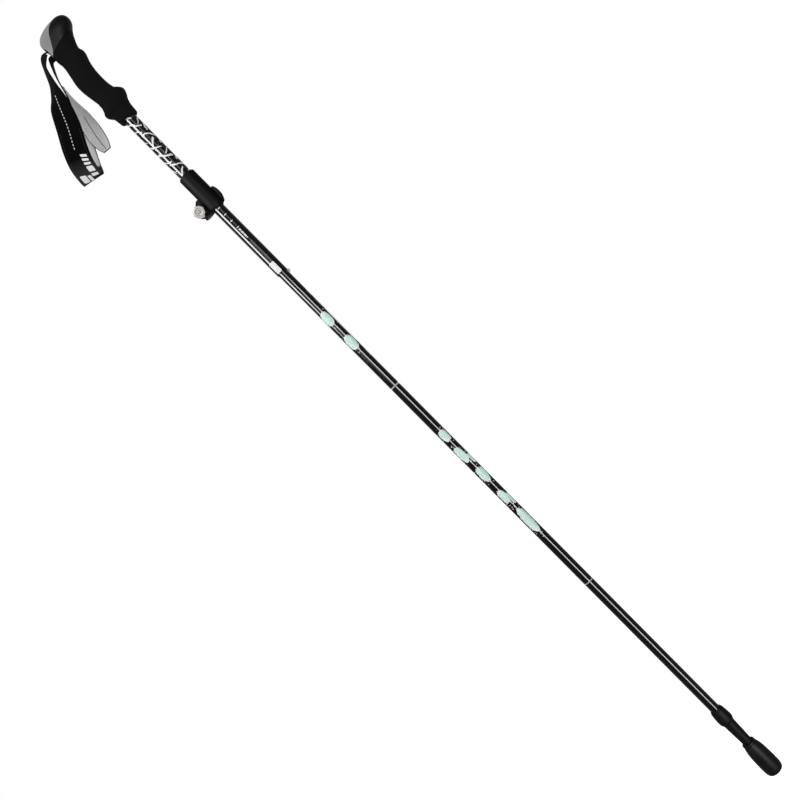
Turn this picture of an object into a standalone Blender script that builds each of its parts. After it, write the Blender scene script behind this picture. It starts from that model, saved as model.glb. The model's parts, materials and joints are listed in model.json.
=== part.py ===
"""Trail running pole: a leaning foam grip with a wrist strap, a flip-lever lock, a telescoping
adjusting tube, and three folding tubes that an elastic cord holds end to end on their ferrules.
Metres, +Z up, origin on the ground under the rubber boot, +X the way the grip's head leans."""

import math

import bmesh
import bpy
from mathutils import Vector

# Clearances
SEAT_GAP = 0.0003
SLIDE_GAP = 0.00015
TURN_GAP = 0.0003

# Tubes: lengths, outer radii and walls
LOWER_TUBE_LENGTH = 0.2259
MIDDLE_TUBE_LENGTH = 0.3087
TOP_FOLDING_TUBE_LENGTH = 0.2245
ADJUSTING_TUBE_LENGTH = 0.2248
UPPER_TUBE_LENGTH = 0.230
FOLDING_TUBE_RADIUS = 0.0060
FOLDING_TUBE_WALL = 0.0007
ADJUSTING_TUBE_RADIUS = 0.0070
ADJUSTING_TUBE_WALL = 0.0006
UPPER_TUBE_RADIUS = 0.00765
UPPER_TUBE_WALL = 0.0005
ADJUSTING_TUBE_INSERTION = 0.1063
TOP_FOLDING_TUBE_INSERTION = 0.0438

# Boot, hard tip and tip sleeve
BOOT_HEIGHT = 0.046
BOOT_RADIUS = 0.0111
BOOT_NECK_RADIUS = 0.0082
BOOT_SOLE_RADIUS = 0.0062
BOOT_FLOOR = 0.008
TIP_RADIUS = 0.0025
TIP_STICKOUT = 0.0057
TIP_EMBEDDED = 0.010
SLEEVE_LENGTH = 0.0845
SLEEVE_END_RADIUS = 0.0046
SLEEVE_TOP_RADIUS = 0.0071
SLEEVE_TAPER_LENGTH = 0.064
SOCKET_DEPTH = 0.0235
COLLAR_RING_LENGTH = 0.018
COLLAR_RING_RADIUS = 0.0090
COLLAR_RING_END_RADIUS = 0.0079
SLEEVE_LIP_LENGTH = 0.002

# Ferrules between the folding tubes
SPIGOT_LENGTH = 0.035
GLUED_LENGTH = 0.025
FERRULE_BORE_RADIUS = 0.0037
FLANGE_LENGTH = 0.001

# Cord and what holds it
CORD_RADIUS = 0.0011
KNOT_RADIUS = 0.0026
ANCHOR_HEIGHT_IN_TUBE = 0.030
ANCHOR_LENGTH = 0.012
CORD_BLOCK_ABOVE_BUSH = 0.018
CORD_BLOCK_LENGTH = 0.010
CORD_HOLE_RADIUS = 0.0014

# Guide bush, stop plug and end ring
BUSH_HEAD_LENGTH = 0.006
BUSH_SPIGOT_LENGTH = 0.012
BUSH_BORE_RADIUS = 0.0024
PLUG_FLANGE_LENGTH = 0.0045
PLUG_SPIGOT_LENGTH = 0.012
PLUG_BORE_RADIUS = 0.002
RING_LENGTH = 0.0012

# Snap button and its leaf spring
BUTTON_RADIUS = 0.0022
BUTTON_STICKOUT = 0.0027
BUTTON_FLANGE_OVERHANG = 0.0004
BUTTON_FLANGE_THICKNESS = 0.0005
BUTTON_DOME_HEIGHT = 0.0012
LEAF_THICKNESS = 0.0004
LEAF_WIDTH = 0.0046
LEAF_BACK_LENGTH = 0.022
LEAF_FRONT_LENGTH = 0.012

# Lock: collar, ears, screw, nut and lever
LOCK_TURN = math.radians(11.25)
COLLAR_LENGTH = 0.052
COLLAR_RADIUS = 0.0105
COLLAR_LOWER_LENGTH = 0.0167
COLLAR_LOWER_END_RADIUS = 0.0081
COLLAR_SHOULDER_HEIGHT = 0.0045
COLLAR_EDGE = 0.0014
SLIT_WIDTH = 0.0016
SLIT_LENGTH = 0.038
EAR_THICKNESS = 0.0035
EAR_HEIGHT = 0.0225
EAR_END_RADIUS = 0.0073
EAR_SHOULDER = 0.0025
EAR_ROOT_DEPTH = 0.0020
EAR_LOW_STEP = 0.0008
SCREW_REACH = 0.0170
SCREW_HEIGHT = 0.0105
SCREW_RADIUS = 0.0015
WASHER_RADIUS = 0.0064
WASHER_THICKNESS = 0.0010
NUT_RADIUS = 0.0075
NUT_LENGTH = 0.0062
NUT_EDGE = 0.0011
NUT_FACETS = 8
NUT_RECESS_RADIUS = 0.0040
NUT_RECESS_DEPTH = 0.0012
SADDLE_THICKNESS = 0.0012
SADDLE_HALF_WIDTH = 0.0029
CAM_RADIUS = 0.0050
BARREL_RADIUS = 0.0028
LEVER_BAND_GAP = 0.0005
LEVER_BAND_THICKNESS = 0.0038
LEVER_BAND_THINNING = 0.35
LEVER_FOOT = 0.0008
LEVER_TOP_EDGE = 0.0016
LEVER_HUB_INSET = 0.0004
LEVER_HEIGHT = 0.0195
LEVER_END_ANGLE = math.radians(-12)
LEVER_ROOT_ANGLE = math.radians(118)
LEVER_OPENS = math.radians(135)

# Reach of cutting tools past what they cut
CUT_REACH = 0.010
FAR_REACH = 0.060

# Grip: foam, head core and cap
GRIP_LENGTH = 0.1388
HEAD_LENGTH = 0.0292
TUBE_BELOW_SEAM = 0.0048
HEAD_PLUG_LENGTH = 0.020
SEAM_SLOPE = 0.28
FOAM_ROUNDNESS = 2.3
HEAD_REAR_ROUNDNESS = 5.0
SEAM_LAP = 0.015
HEAD_NECK_RISE = 0.004
CAP_EDGE_ABOVE_SEAM = 0.0048

# Strap, its slot and what holds it in the head
STRAP_WIDTH_AT_SLOT = 0.0162
STRAP_BAND_WIDTH = 0.0270
STRAP_TONGUE_WIDTH = 0.0200
WEBBING_THICKNESS = 0.0012
LINING_THICKNESS = 0.0009
SLOT_WIDTH = 0.0176
SLOT_ROOF_ABOVE_CENTRE = 0.0074
SLOT_DEPTH = 0.0130
SLOT_SILL = 0.0016
SLOT_CORNER_RADIUS = 0.0030
SLOT_CENTRE_ABOVE_SEAM = 0.0049
STRAND_SPREAD = 0.0050
PIN_RADIUS = 0.0015
PIN_INSET = 0.0090
PIN_SEAT_DEPTH = 0.0020

TUBE_FACETS = 48
PART_FACETS = 40
SMALL_FACETS = 24

# Heights, worked out upwards from the ground
TIP_BOTTOM = BOOT_FLOOR + SEAT_GAP
SLEEVE_BOTTOM = TIP_BOTTOM + TIP_STICKOUT
TIP_TOP = SLEEVE_BOTTOM + TIP_EMBEDDED
SLEEVE_TOP = SLEEVE_BOTTOM + SLEEVE_LENGTH
SOCKET_FLOOR = SLEEVE_TOP - SOCKET_DEPTH
LOWER_TUBE_BOTTOM = SOCKET_FLOOR + SEAT_GAP
LOWER_TUBE_TOP = LOWER_TUBE_BOTTOM + LOWER_TUBE_LENGTH
LOWER_JOINT = LOWER_TUBE_TOP + SEAT_GAP
MIDDLE_TUBE_BOTTOM = LOWER_JOINT + FLANGE_LENGTH + SEAT_GAP
MIDDLE_TUBE_TOP = MIDDLE_TUBE_BOTTOM + MIDDLE_TUBE_LENGTH
UPPER_JOINT = MIDDLE_TUBE_TOP + SEAT_GAP
TOP_FOLDING_TUBE_BOTTOM = UPPER_JOINT + FLANGE_LENGTH + SEAT_GAP
TOP_FOLDING_TUBE_TOP = TOP_FOLDING_TUBE_BOTTOM + TOP_FOLDING_TUBE_LENGTH
BUSH_HEAD_BOTTOM = TOP_FOLDING_TUBE_TOP + SEAT_GAP
BUSH_TOP = BUSH_HEAD_BOTTOM + BUSH_HEAD_LENGTH
ADJUSTING_TUBE_BOTTOM = TOP_FOLDING_TUBE_TOP - TOP_FOLDING_TUBE_INSERTION
ADJUSTING_TUBE_TOP = ADJUSTING_TUBE_BOTTOM + ADJUSTING_TUBE_LENGTH
RING_TOP = ADJUSTING_TUBE_BOTTOM - SEAT_GAP
RING_BOTTOM = RING_TOP - RING_LENGTH
BUTTON_HEIGHT = RING_BOTTOM - SEAT_GAP - BUTTON_RADIUS
CORD_BLOCK_BOTTOM = BUSH_TOP + CORD_BLOCK_ABOVE_BUSH
CORD_BLOCK_TOP = CORD_BLOCK_BOTTOM + CORD_BLOCK_LENGTH
ANCHOR_BOTTOM = LOWER_TUBE_BOTTOM + ANCHOR_HEIGHT_IN_TUBE
ANCHOR_TOP = ANCHOR_BOTTOM + ANCHOR_LENGTH
UPPER_TUBE_BOTTOM = ADJUSTING_TUBE_TOP - ADJUSTING_TUBE_INSERTION
COLLAR_STEP = UPPER_TUBE_BOTTOM - SEAT_GAP
COLLAR_BOTTOM = COLLAR_STEP - COLLAR_LOWER_LENGTH
COLLAR_TOP = COLLAR_BOTTOM + COLLAR_LENGTH
UPPER_TUBE_TOP = UPPER_TUBE_BOTTOM + UPPER_TUBE_LENGTH
SEAM_HEIGHT = GRIP_LENGTH - HEAD_LENGTH
GRIP_BOTTOM = UPPER_TUBE_TOP + TUBE_BELOW_SEAM - SEAM_HEIGHT
GRIP_TOP = GRIP_BOTTOM + GRIP_LENGTH

# Radii that follow from the tubes
FOLDING_TUBE_BORE = FOLDING_TUBE_RADIUS - FOLDING_TUBE_WALL
ADJUSTING_TUBE_BORE = ADJUSTING_TUBE_RADIUS - ADJUSTING_TUBE_WALL
UPPER_TUBE_BORE = UPPER_TUBE_RADIUS - UPPER_TUBE_WALL

# Lock places in its own frame: the ears point along -X and the screw lies along Y
SCREW_Z = COLLAR_BOTTOM + SCREW_HEIGHT
EAR_FACE = SLIT_WIDTH / 2 + EAR_THICKNESS
PIVOT_Y = EAR_FACE + SEAT_GAP + SADDLE_THICKNESS + TURN_GAP + CAM_RADIUS
NUT_BACK = -(EAR_FACE + SEAT_GAP + WASHER_THICKNESS + TURN_GAP)
EAR_LOW = COLLAR_BOTTOM + 0.0003
EAR_HIGH = EAR_LOW + EAR_HEIGHT
LEVER_LOW = COLLAR_BOTTOM + 0.0025
LEVER_HIGH = LEVER_LOW + LEVER_HEIGHT

# Strap places in the head
SEAM_Z = GRIP_BOTTOM + SEAM_HEIGHT
SLOT_Z = SEAM_Z + SLOT_CENTRE_ABOVE_SEAM
SLOT_MOUTH_X = -0.0134
STRAP_HINGE_ABOVE_SLOT = 0.0060
PIN_X = SLOT_MOUTH_X + PIN_INSET


def material(name, colour, roughness, metallic=0.0):
    """A Principled material from an sRGB hex colour."""
    look = bpy.data.materials.new(name)
    look.use_nodes = True
    shader = look.node_tree.nodes["Principled BSDF"]
    channels = [int(colour[i:i + 2], 16) / 255 for i in (0, 2, 4)]
    linear = [c / 12.92 if c <= 0.04045 else ((c + 0.055) / 1.055) ** 2.4 for c in channels]
    shader.inputs["Base Color"].default_value = (*linear, 1.0)
    shader.inputs["Roughness"].default_value = roughness
    shader.inputs["Metallic"].default_value = metallic
    return look


def finish(bm, name, look=None):
    """Turn the bmesh into an object whose faces point out and whose round stretches shade smooth."""
    bmesh.ops.remove_doubles(bm, verts=bm.verts, dist=1e-6)
    bmesh.ops.recalc_face_normals(bm, faces=bm.faces)
    mesh = bpy.data.meshes.new(name)
    bm.to_mesh(mesh)
    bm.free()
    mesh.shade_smooth()
    mesh.set_sharp_from_angle(angle=math.radians(35))
    piece = bpy.data.objects.new(name, mesh)
    bpy.context.scene.collection.objects.link(piece)
    if look:
        mesh.materials.append(look)
    return piece


def turned(name, profile, look=None, facets=TUBE_FACETS, ring=False):
    """Spin (radius, height) points about Z. A ring's profile is closed, a solid's ends on the axis."""
    bm = bmesh.new()
    points = [bm.verts.new((radius, 0.0, height)) for radius, height in profile]
    following = points[1:] + points[:1] if ring else points[1:]
    edges = [bm.edges.new(pair) for pair in zip(points, following)]
    bmesh.ops.spin(bm, geom=points + edges, axis=(0, 0, 1), cent=(0, 0, 0),
                   angle=2 * math.pi, steps=facets)
    return finish(bm, name, look)


def tube(name, outer, inner, bottom, top, look=None, facets=TUBE_FACETS):
    """A plain tube between two heights."""
    profile = [(outer, bottom), (outer, top), (inner, top), (inner, bottom)]
    return turned(name, profile, look, facets, ring=True)


def rod(name, radius, bottom, top, look=None, facets=SMALL_FACETS):
    """A plain round bar between two heights."""
    return turned(name, [(0, bottom), (radius, bottom), (radius, top), (0, top)], look, facets)


def prism(name, outline, low, high, look=None, axis="Z"):
    """Extrude an outline: (x, y) points upwards along Z, or (x, z) points along Y."""
    bm = bmesh.new()
    if axis == "Z":
        corners = [bm.verts.new((x, y, low)) for x, y in outline]
        reach = Vector((0, 0, high - low))
    else:
        corners = [bm.verts.new((x, low, z)) for x, z in outline]
        reach = Vector((0, high - low, 0))
    face = bm.faces.new(corners)
    grown = bmesh.ops.extrude_face_region(bm, geom=[face])
    moved = [item for item in grown["geom"] if isinstance(item, bmesh.types.BMVert)]
    bmesh.ops.translate(bm, verts=moved, vec=reach)
    return finish(bm, name, look)


def loft(name, rings, look=None, splits=()):
    """Join rings of equally many points into one closed skin with flat ends. Where splits are given,
    one for each side, a side's faces are halved from its first point up (True) or down (False)."""
    bm = bmesh.new()
    rows = [[bm.verts.new(point) for point in ring] for ring in rings]
    for low, high in zip(rows, rows[1:]):
        for i in range(len(low)):
            j = (i + 1) % len(low)
            if not splits:
                bm.faces.new((low[i], low[j], high[j], high[i]))
            elif splits[i]:
                bm.faces.new((low[i], low[j], high[j]))
                bm.faces.new((low[i], high[j], high[i]))
            else:
                bm.faces.new((low[i], low[j], high[i]))
                bm.faces.new((low[j], high[j], high[i]))
    bm.faces.new(rows[0])
    bm.faces.new(rows[-1])
    return finish(bm, name, look)


def cut(piece, cutter, operation="DIFFERENCE"):
    """Cut the piece by a hidden tool, join the tool to it or keep what they share."""
    cutter.hide_render = True
    cutter.display_type = "WIRE"
    step = piece.modifiers.new(cutter.name, "BOOLEAN")
    step.operation = operation
    step.solver = "EXACT"
    step.object = cutter


def arc(centre, radius, start, end, steps):
    """Points on an arc between two angles in radians."""
    angles = [start + (end - start) * i / steps for i in range(steps + 1)]
    return [(centre[0] + radius * math.cos(a), centre[1] + radius * math.sin(a)) for a in angles]


def smooth(points, steps):
    """A smooth curve through the points, with the given number of steps between neighbours."""
    padded = [points[0], *points, points[-1]]
    curve = []
    for before, start, end, after in zip(padded, padded[1:], padded[2:], padded[3:]):
        for step in range(steps):
            t = step / steps
            weights = (-t + 2 * t * t - t ** 3, 2 - 5 * t * t + 3 * t ** 3,
                       t + 4 * t * t - 3 * t ** 3, t ** 3 - t * t)
            columns = zip(before, start, end, after)
            curve.append([sum(w * v for w, v in zip(weights, column)) / 2 for column in columns])
    curve.append(list(points[-1]))
    return curve


def empty(name, location=(0, 0, 0), turn=0.0, parent=None):
    """The frame that a moving group hangs from."""
    frame = bpy.data.objects.new(name, None)
    bpy.context.scene.collection.objects.link(frame)
    frame.location = location
    frame.rotation_euler = (0, 0, turn)
    frame.parent = parent
    return frame


def boot_outline():
    """The boot's outside from sole to neck, as (radius, height)."""
    h = BOOT_HEIGHT
    stations = [(BOOT_RADIUS * 0.94, 0.09 * h), (BOOT_RADIUS * 0.985, 0.17 * h), (BOOT_RADIUS, 0.33 * h),
                (BOOT_RADIUS * 0.965, 0.60 * h), (BOOT_RADIUS * 0.905, 0.76 * h),
                (BOOT_NECK_RADIUS * 1.10, 0.87 * h), (BOOT_NECK_RADIUS, 0.93 * h)]
    sole = [(BOOT_SOLE_RADIUS, 0.0), (BOOT_RADIUS * 0.75, 0.018 * h), (BOOT_RADIUS * 0.87, 0.045 * h)]
    return sole + smooth(stations, 2) + [(BOOT_NECK_RADIUS, h - SEAT_GAP), (BOOT_NECK_RADIUS - SEAT_GAP, h)]


def sleeve_radius(height):
    """The tip sleeve's outer radius at a height, on its taper and the straight above it."""
    share = min(max((height - SLEEVE_BOTTOM) / SLEEVE_TAPER_LENGTH, 0.0), 1.0)
    return SLEEVE_END_RADIUS + (SLEEVE_TOP_RADIUS - SLEEVE_END_RADIUS) * share


def build_tip(lower, boot, looks):
    """The rubber boot, the hard tip, the tapered sleeve and the ring for a basket."""
    gap = SEAT_GAP
    floor = SLEEVE_BOTTOM - gap
    bore = [(sleeve_radius(BOOT_HEIGHT) + gap, BOOT_HEIGHT), (sleeve_radius(SLEEVE_BOTTOM) + gap, floor),
            (TIP_RADIUS + gap, floor), (TIP_RADIUS + gap, BOOT_FLOOR), (0, BOOT_FLOOR)]
    rubber = turned("rubber_boot", [(0, 0)] + boot_outline() + bore, looks["rubber"], PART_FACETS)
    rubber.parent = boot

    tip = turned("metal_tip", [(0, TIP_BOTTOM), (TIP_RADIUS * 0.7, TIP_BOTTOM),
                               (TIP_RADIUS, TIP_BOTTOM + TIP_RADIUS * 0.5), (TIP_RADIUS, TIP_TOP),
                               (0, TIP_TOP)], looks["steel"], SMALL_FACETS)
    tip.parent = lower

    hole = TIP_RADIUS + gap
    taper_top = SLEEVE_BOTTOM + SLEEVE_TAPER_LENGTH
    sleeve = turned("tip_sleeve", [(0, TIP_TOP + gap), (hole, TIP_TOP + gap), (hole, SLEEVE_BOTTOM),
                                   (SLEEVE_END_RADIUS - 2 * gap, SLEEVE_BOTTOM),
                                   (sleeve_radius(SLEEVE_BOTTOM + 2 * gap), SLEEVE_BOTTOM + 2 * gap),
                                   (SLEEVE_TOP_RADIUS, taper_top), (SLEEVE_TOP_RADIUS, SLEEVE_TOP - gap),
                                   (SLEEVE_TOP_RADIUS - gap, SLEEVE_TOP),
                                   (FOLDING_TUBE_RADIUS + gap, SLEEVE_TOP),
                                   (FOLDING_TUBE_RADIUS + gap, SOCKET_FLOOR), (0, SOCKET_FLOOR)],
                    looks["matt plastic"], PART_FACETS)
    sleeve.parent = lower

    top = SLEEVE_TOP - SLEEVE_LIP_LENGTH
    bottom = top - COLLAR_RING_LENGTH
    inner = SLEEVE_TOP_RADIUS + gap
    long, wide = COLLAR_RING_LENGTH, COLLAR_RING_RADIUS
    bulge = smooth([(COLLAR_RING_END_RADIUS, bottom), (0.975 * wide, bottom + 0.13 * long),
                    (wide, bottom + 0.38 * long), (0.945 * wide, bottom + 0.75 * long),
                    (COLLAR_RING_END_RADIUS, top)], 2)
    ring = turned("basket_collar", [(inner, top), (inner, bottom)] + bulge, looks["matt plastic"],
                  PART_FACETS, ring=True)
    ring.parent = lower


def build_ferrule(name, joint, parent, looks):
    """Glued into the tube below the joint, with a flange on its rim and a spigot for the tube above."""
    glued = FOLDING_TUBE_BORE - SEAT_GAP
    spigot = FOLDING_TUBE_BORE - SLIDE_GAP
    top = joint + FLANGE_LENGTH + SPIGOT_LENGTH
    chamfer = 2 * SEAT_GAP
    profile = [(FERRULE_BORE_RADIUS, joint - GLUED_LENGTH), (glued, joint - GLUED_LENGTH), (glued, joint),
               (FOLDING_TUBE_RADIUS, joint), (FOLDING_TUBE_RADIUS, joint + FLANGE_LENGTH),
               (spigot, joint + FLANGE_LENGTH), (spigot, top - chamfer), (spigot - chamfer, top),
               (FERRULE_BORE_RADIUS, top)]
    turned(name, profile, looks["silver"], PART_FACETS, ring=True).parent = parent


def build_folding_tubes(adjuster, middle, lower, looks):
    """The three folding tubes, the ferrules at their joints and the bush that guides the top one."""
    for name, bottom, top, parent in (
            ("folding_tube_3", LOWER_TUBE_BOTTOM, LOWER_TUBE_TOP, lower),
            ("folding_tube_2", MIDDLE_TUBE_BOTTOM, MIDDLE_TUBE_TOP, middle),
            ("folding_tube_1", TOP_FOLDING_TUBE_BOTTOM, TOP_FOLDING_TUBE_TOP, adjuster)):
        piece = tube(name, FOLDING_TUBE_RADIUS, FOLDING_TUBE_BORE, bottom, top, looks["gloss black"])
        piece.parent = parent
        if name == "folding_tube_1":
            button_hole = rod("button_hole", BUTTON_RADIUS + SLIDE_GAP, 0, 2 * FOLDING_TUBE_RADIUS)
            button_hole.location = (0, 0, BUTTON_HEIGHT)
            button_hole.rotation_euler = (0, math.pi / 2, 0)
            cut(piece, button_hole)

    build_ferrule("lower_ferrule", LOWER_JOINT, lower, looks)
    build_ferrule("upper_ferrule", UPPER_JOINT, middle, looks)

    spigot = FOLDING_TUBE_BORE - SEAT_GAP
    head = ADJUSTING_TUBE_BORE - SLIDE_GAP
    bush = turned("guide_bush", [(BUSH_BORE_RADIUS, BUSH_HEAD_BOTTOM - BUSH_SPIGOT_LENGTH),
                                 (spigot, BUSH_HEAD_BOTTOM - BUSH_SPIGOT_LENGTH), (spigot, BUSH_HEAD_BOTTOM),
                                 (head, BUSH_HEAD_BOTTOM), (head, BUSH_TOP), (BUSH_BORE_RADIUS, BUSH_TOP)],
                  looks["matt plastic"], PART_FACETS, ring=True)
    bush.parent = adjuster


def build_adjusting_tube(adjuster, looks):
    """The tube that slides in the upper tube, with a plug on top and a ring that guides tube 1 below."""
    tube("adjusting_tube", ADJUSTING_TUBE_RADIUS, ADJUSTING_TUBE_BORE, ADJUSTING_TUBE_BOTTOM,
         ADJUSTING_TUBE_TOP, looks["gloss black"]).parent = adjuster

    tube("adjusting_tube_ring", ADJUSTING_TUBE_RADIUS, FOLDING_TUBE_RADIUS + SLIDE_GAP, RING_BOTTOM,
         RING_TOP, looks["gloss black"]).parent = adjuster

    spigot = ADJUSTING_TUBE_BORE - SEAT_GAP
    flange_bottom = ADJUSTING_TUBE_TOP + SEAT_GAP
    flange_top = flange_bottom + PLUG_FLANGE_LENGTH
    spigot_bottom = ADJUSTING_TUBE_TOP - PLUG_SPIGOT_LENGTH
    profile = [(PLUG_BORE_RADIUS, spigot_bottom), (spigot, spigot_bottom), (spigot, flange_bottom),
               (ADJUSTING_TUBE_RADIUS, flange_bottom), (ADJUSTING_TUBE_RADIUS, flange_top),
               (PLUG_BORE_RADIUS, flange_top)]
    plug = turned("adjusting_tube_plug", profile, looks["matt plastic"], SMALL_FACETS, ring=True)
    plug.parent = adjuster


def build_cord(adjuster, lower, looks):
    """The elastic cord from its anchor in tube 3 to the block in the adjusting tube, knotted at both ends."""
    anchor = tube("cord_anchor", FOLDING_TUBE_BORE - SEAT_GAP, CORD_HOLE_RADIUS, ANCHOR_BOTTOM, ANCHOR_TOP,
                  looks["matt plastic"], SMALL_FACETS)
    anchor.parent = lower
    block = tube("cord_block", ADJUSTING_TUBE_BORE - SEAT_GAP, CORD_HOLE_RADIUS, CORD_BLOCK_BOTTOM,
                 CORD_BLOCK_TOP, looks["matt plastic"], SMALL_FACETS)
    block.parent = adjuster

    low = ANCHOR_BOTTOM - SEAT_GAP - KNOT_RADIUS
    high = CORD_BLOCK_TOP + SEAT_GAP + KNOT_RADIUS
    neck = math.asin(CORD_RADIUS / KNOT_RADIUS)
    knot = [-math.pi / 2 + (math.pi - neck) * i / 6 for i in range(7)]
    lower_knot = [(KNOT_RADIUS * math.cos(a), low + KNOT_RADIUS * math.sin(a)) for a in knot]
    upper_knot = [(radius, high + low - height) for radius, height in reversed(lower_knot)]
    lower_knot[0] = (0, lower_knot[0][1])
    upper_knot[-1] = (0, upper_knot[-1][1])
    cord = turned("tension_cord", lower_knot + upper_knot, looks["cord"], 12)
    cord.parent = adjuster


def build_button(adjuster, button, looks):
    """The snap button, turned about X, and the bent leaf spring that pushes it out of tube 1."""
    flange_radius = BUTTON_RADIUS + BUTTON_FLANGE_OVERHANG
    flange_top = math.sqrt(FOLDING_TUBE_BORE ** 2 - flange_radius ** 2) - SEAT_GAP
    flange_bottom = flange_top - BUTTON_FLANGE_THICKNESS
    top = FOLDING_TUBE_RADIUS + BUTTON_STICKOUT
    rim = top - BUTTON_DOME_HEIGHT
    dome = [(BUTTON_RADIUS * math.cos(a), rim + BUTTON_DOME_HEIGHT * math.sin(a))
            for a in (math.radians(18 * i) for i in range(5))]
    profile = [(0, flange_bottom), (flange_radius, flange_bottom), (flange_radius, flange_top),
               (BUTTON_RADIUS, flange_top), *dome, (0, top)]
    snap = turned("snap_button", profile, looks["steel"], SMALL_FACETS)
    snap.rotation_euler = (0, math.pi / 2, 0)
    snap.parent = button

    half = LEAF_WIDTH / 2
    back = math.sqrt(FOLDING_TUBE_BORE ** 2 - half ** 2) - SEAT_GAP
    front = flange_bottom - SEAT_GAP
    radius = (back + front) / 2
    centre = ((front - back) / 2, BUTTON_HEIGHT - LEAF_FRONT_LENGTH + radius)
    inner = radius - LEAF_THICKNESS
    end = BUTTON_HEIGHT + BUTTON_RADIUS
    outline = [(-back, centre[1] + LEAF_BACK_LENGTH), *arc(centre, radius, math.pi, 2 * math.pi, 12),
               (front, end), (front - LEAF_THICKNESS, end),
               *arc(centre, inner, 2 * math.pi, math.pi, 12),
               (LEAF_THICKNESS - back, centre[1] + LEAF_BACK_LENGTH)]
    leaf = prism("button_spring", outline, -half, half, looks["steel"], axis="Y")
    leaf.parent = adjuster
    cord_way = rod("cord_way", CORD_HOLE_RADIUS, BUTTON_HEIGHT - 2 * LEAF_FRONT_LENGTH, BUTTON_HEIGHT)
    cut(leaf, cord_way)


def along_screw(piece):
    """Lay a piece that was turned about Z along the lock's screw."""
    piece.location = (-SCREW_REACH, 0, SCREW_Z)
    piece.rotation_euler = (-math.pi / 2, 0, 0)


def build_collar(lock, looks):
    """The slit collar that joins the tubes, with two ears that the screw draws together."""
    low = ADJUSTING_TUBE_RADIUS + SLIDE_GAP
    high = UPPER_TUBE_RADIUS + SEAT_GAP
    profile = [(low, COLLAR_STEP), (low, COLLAR_BOTTOM), (COLLAR_LOWER_END_RADIUS, COLLAR_BOTTOM),
               (COLLAR_RADIUS, COLLAR_BOTTOM + COLLAR_SHOULDER_HEIGHT),
               (COLLAR_RADIUS, COLLAR_TOP - COLLAR_EDGE),
               (COLLAR_RADIUS - 0.4 * COLLAR_EDGE, COLLAR_TOP - 0.3 * COLLAR_EDGE),
               (COLLAR_RADIUS - COLLAR_EDGE, COLLAR_TOP), (high, COLLAR_TOP), (high, COLLAR_STEP)]
    collar = turned("lock_collar", profile, looks["matt plastic"], PART_FACETS, ring=True)
    collar.parent = lock

    shoulder = -(COLLAR_RADIUS + EAR_SHOULDER)
    end = arc((-SCREW_REACH, SCREW_Z), EAR_END_RADIUS, math.radians(105), math.radians(258), 12)
    root = -(COLLAR_RADIUS - EAR_ROOT_DEPTH)
    outline = [(root, EAR_HIGH), (shoulder, EAR_HIGH), *end, (shoulder, EAR_LOW + EAR_LOW_STEP),
               (root, EAR_LOW)]
    ears = prism("ears", outline, -EAR_FACE, EAR_FACE, axis="Y")
    ears.parent = lock
    cut(collar, ears, "UNION")

    slit_top = COLLAR_BOTTOM + SLIT_LENGTH
    slit_outline = [(-FAR_REACH, COLLAR_BOTTOM - CUT_REACH), (0, COLLAR_BOTTOM - CUT_REACH),
                    (0, slit_top), (-FAR_REACH, slit_top)]
    slit = prism("slit", slit_outline, -SLIT_WIDTH / 2, SLIT_WIDTH / 2, axis="Y")
    slit.parent = lock
    cut(collar, slit)

    bore = rod("screw_way", SCREW_RADIUS + SEAT_GAP, -FAR_REACH / 2, FAR_REACH / 2)
    bore.parent = lock
    along_screw(bore)
    cut(collar, bore)
    return bore


def build_screw(lock, nut, screw_way, looks):
    """The clamp screw, the barrel it threads into, its washers and the round tension nut."""
    hole = SCREW_RADIUS + SEAT_GAP
    nut_face = NUT_BACK - NUT_LENGTH
    screw_tip = PIVOT_Y + BARREL_RADIUS * 0.3
    screw = rod("clamp_screw", SCREW_RADIUS, nut_face + NUT_RECESS_DEPTH / 2, screw_tip, looks["steel"])
    screw.parent = lock
    along_screw(screw)

    washer = tube("nut_washer", WASHER_RADIUS, hole, NUT_BACK + TURN_GAP, -EAR_FACE - SEAT_GAP,
                  looks["matt plastic"], SMALL_FACETS)
    washer.parent = lock
    along_screw(washer)

    edge = NUT_EDGE
    body = turned("tension_nut", [(0, 0), (NUT_RADIUS - edge, 0), (NUT_RADIUS, edge),
                                  (NUT_RADIUS, NUT_LENGTH - edge), (NUT_RADIUS - edge, NUT_LENGTH),
                                  (0, NUT_LENGTH)], looks["silver"], NUT_FACETS)
    body.parent = nut
    recess = rod("nut_recess", NUT_RECESS_RADIUS, -NUT_LENGTH, NUT_RECESS_DEPTH)
    thread = rod("nut_thread", hole, -NUT_LENGTH, 2 * NUT_LENGTH)
    for tool in (recess, thread):
        tool.parent = nut
        cut(body, tool)

    barrel = rod("barrel_nut", BARREL_RADIUS, LEVER_LOW + SEAT_GAP, LEVER_HIGH - SEAT_GAP, looks["steel"])
    barrel.location = (-SCREW_REACH, PIVOT_Y, 0)
    barrel.parent = lock
    cut(barrel, screw_way)

    face = EAR_FACE + SEAT_GAP
    radius = CAM_RADIUS + TURN_GAP
    spread = math.asin(SADDLE_HALF_WIDTH / radius)
    hollow = arc((-SCREW_REACH, PIVOT_Y), radius, -math.pi / 2 + spread, -math.pi / 2 - spread, 8)
    outline = [(-SCREW_REACH - SADDLE_HALF_WIDTH, face), (-SCREW_REACH + SADDLE_HALF_WIDTH, face), *hollow]
    low, high = LEVER_LOW + SEAT_GAP, LEVER_HIGH - SEAT_GAP
    saddle = prism("saddle_washer", outline, low, high, looks["matt plastic"])
    saddle.parent = lock
    cut(saddle, screw_way)


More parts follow.
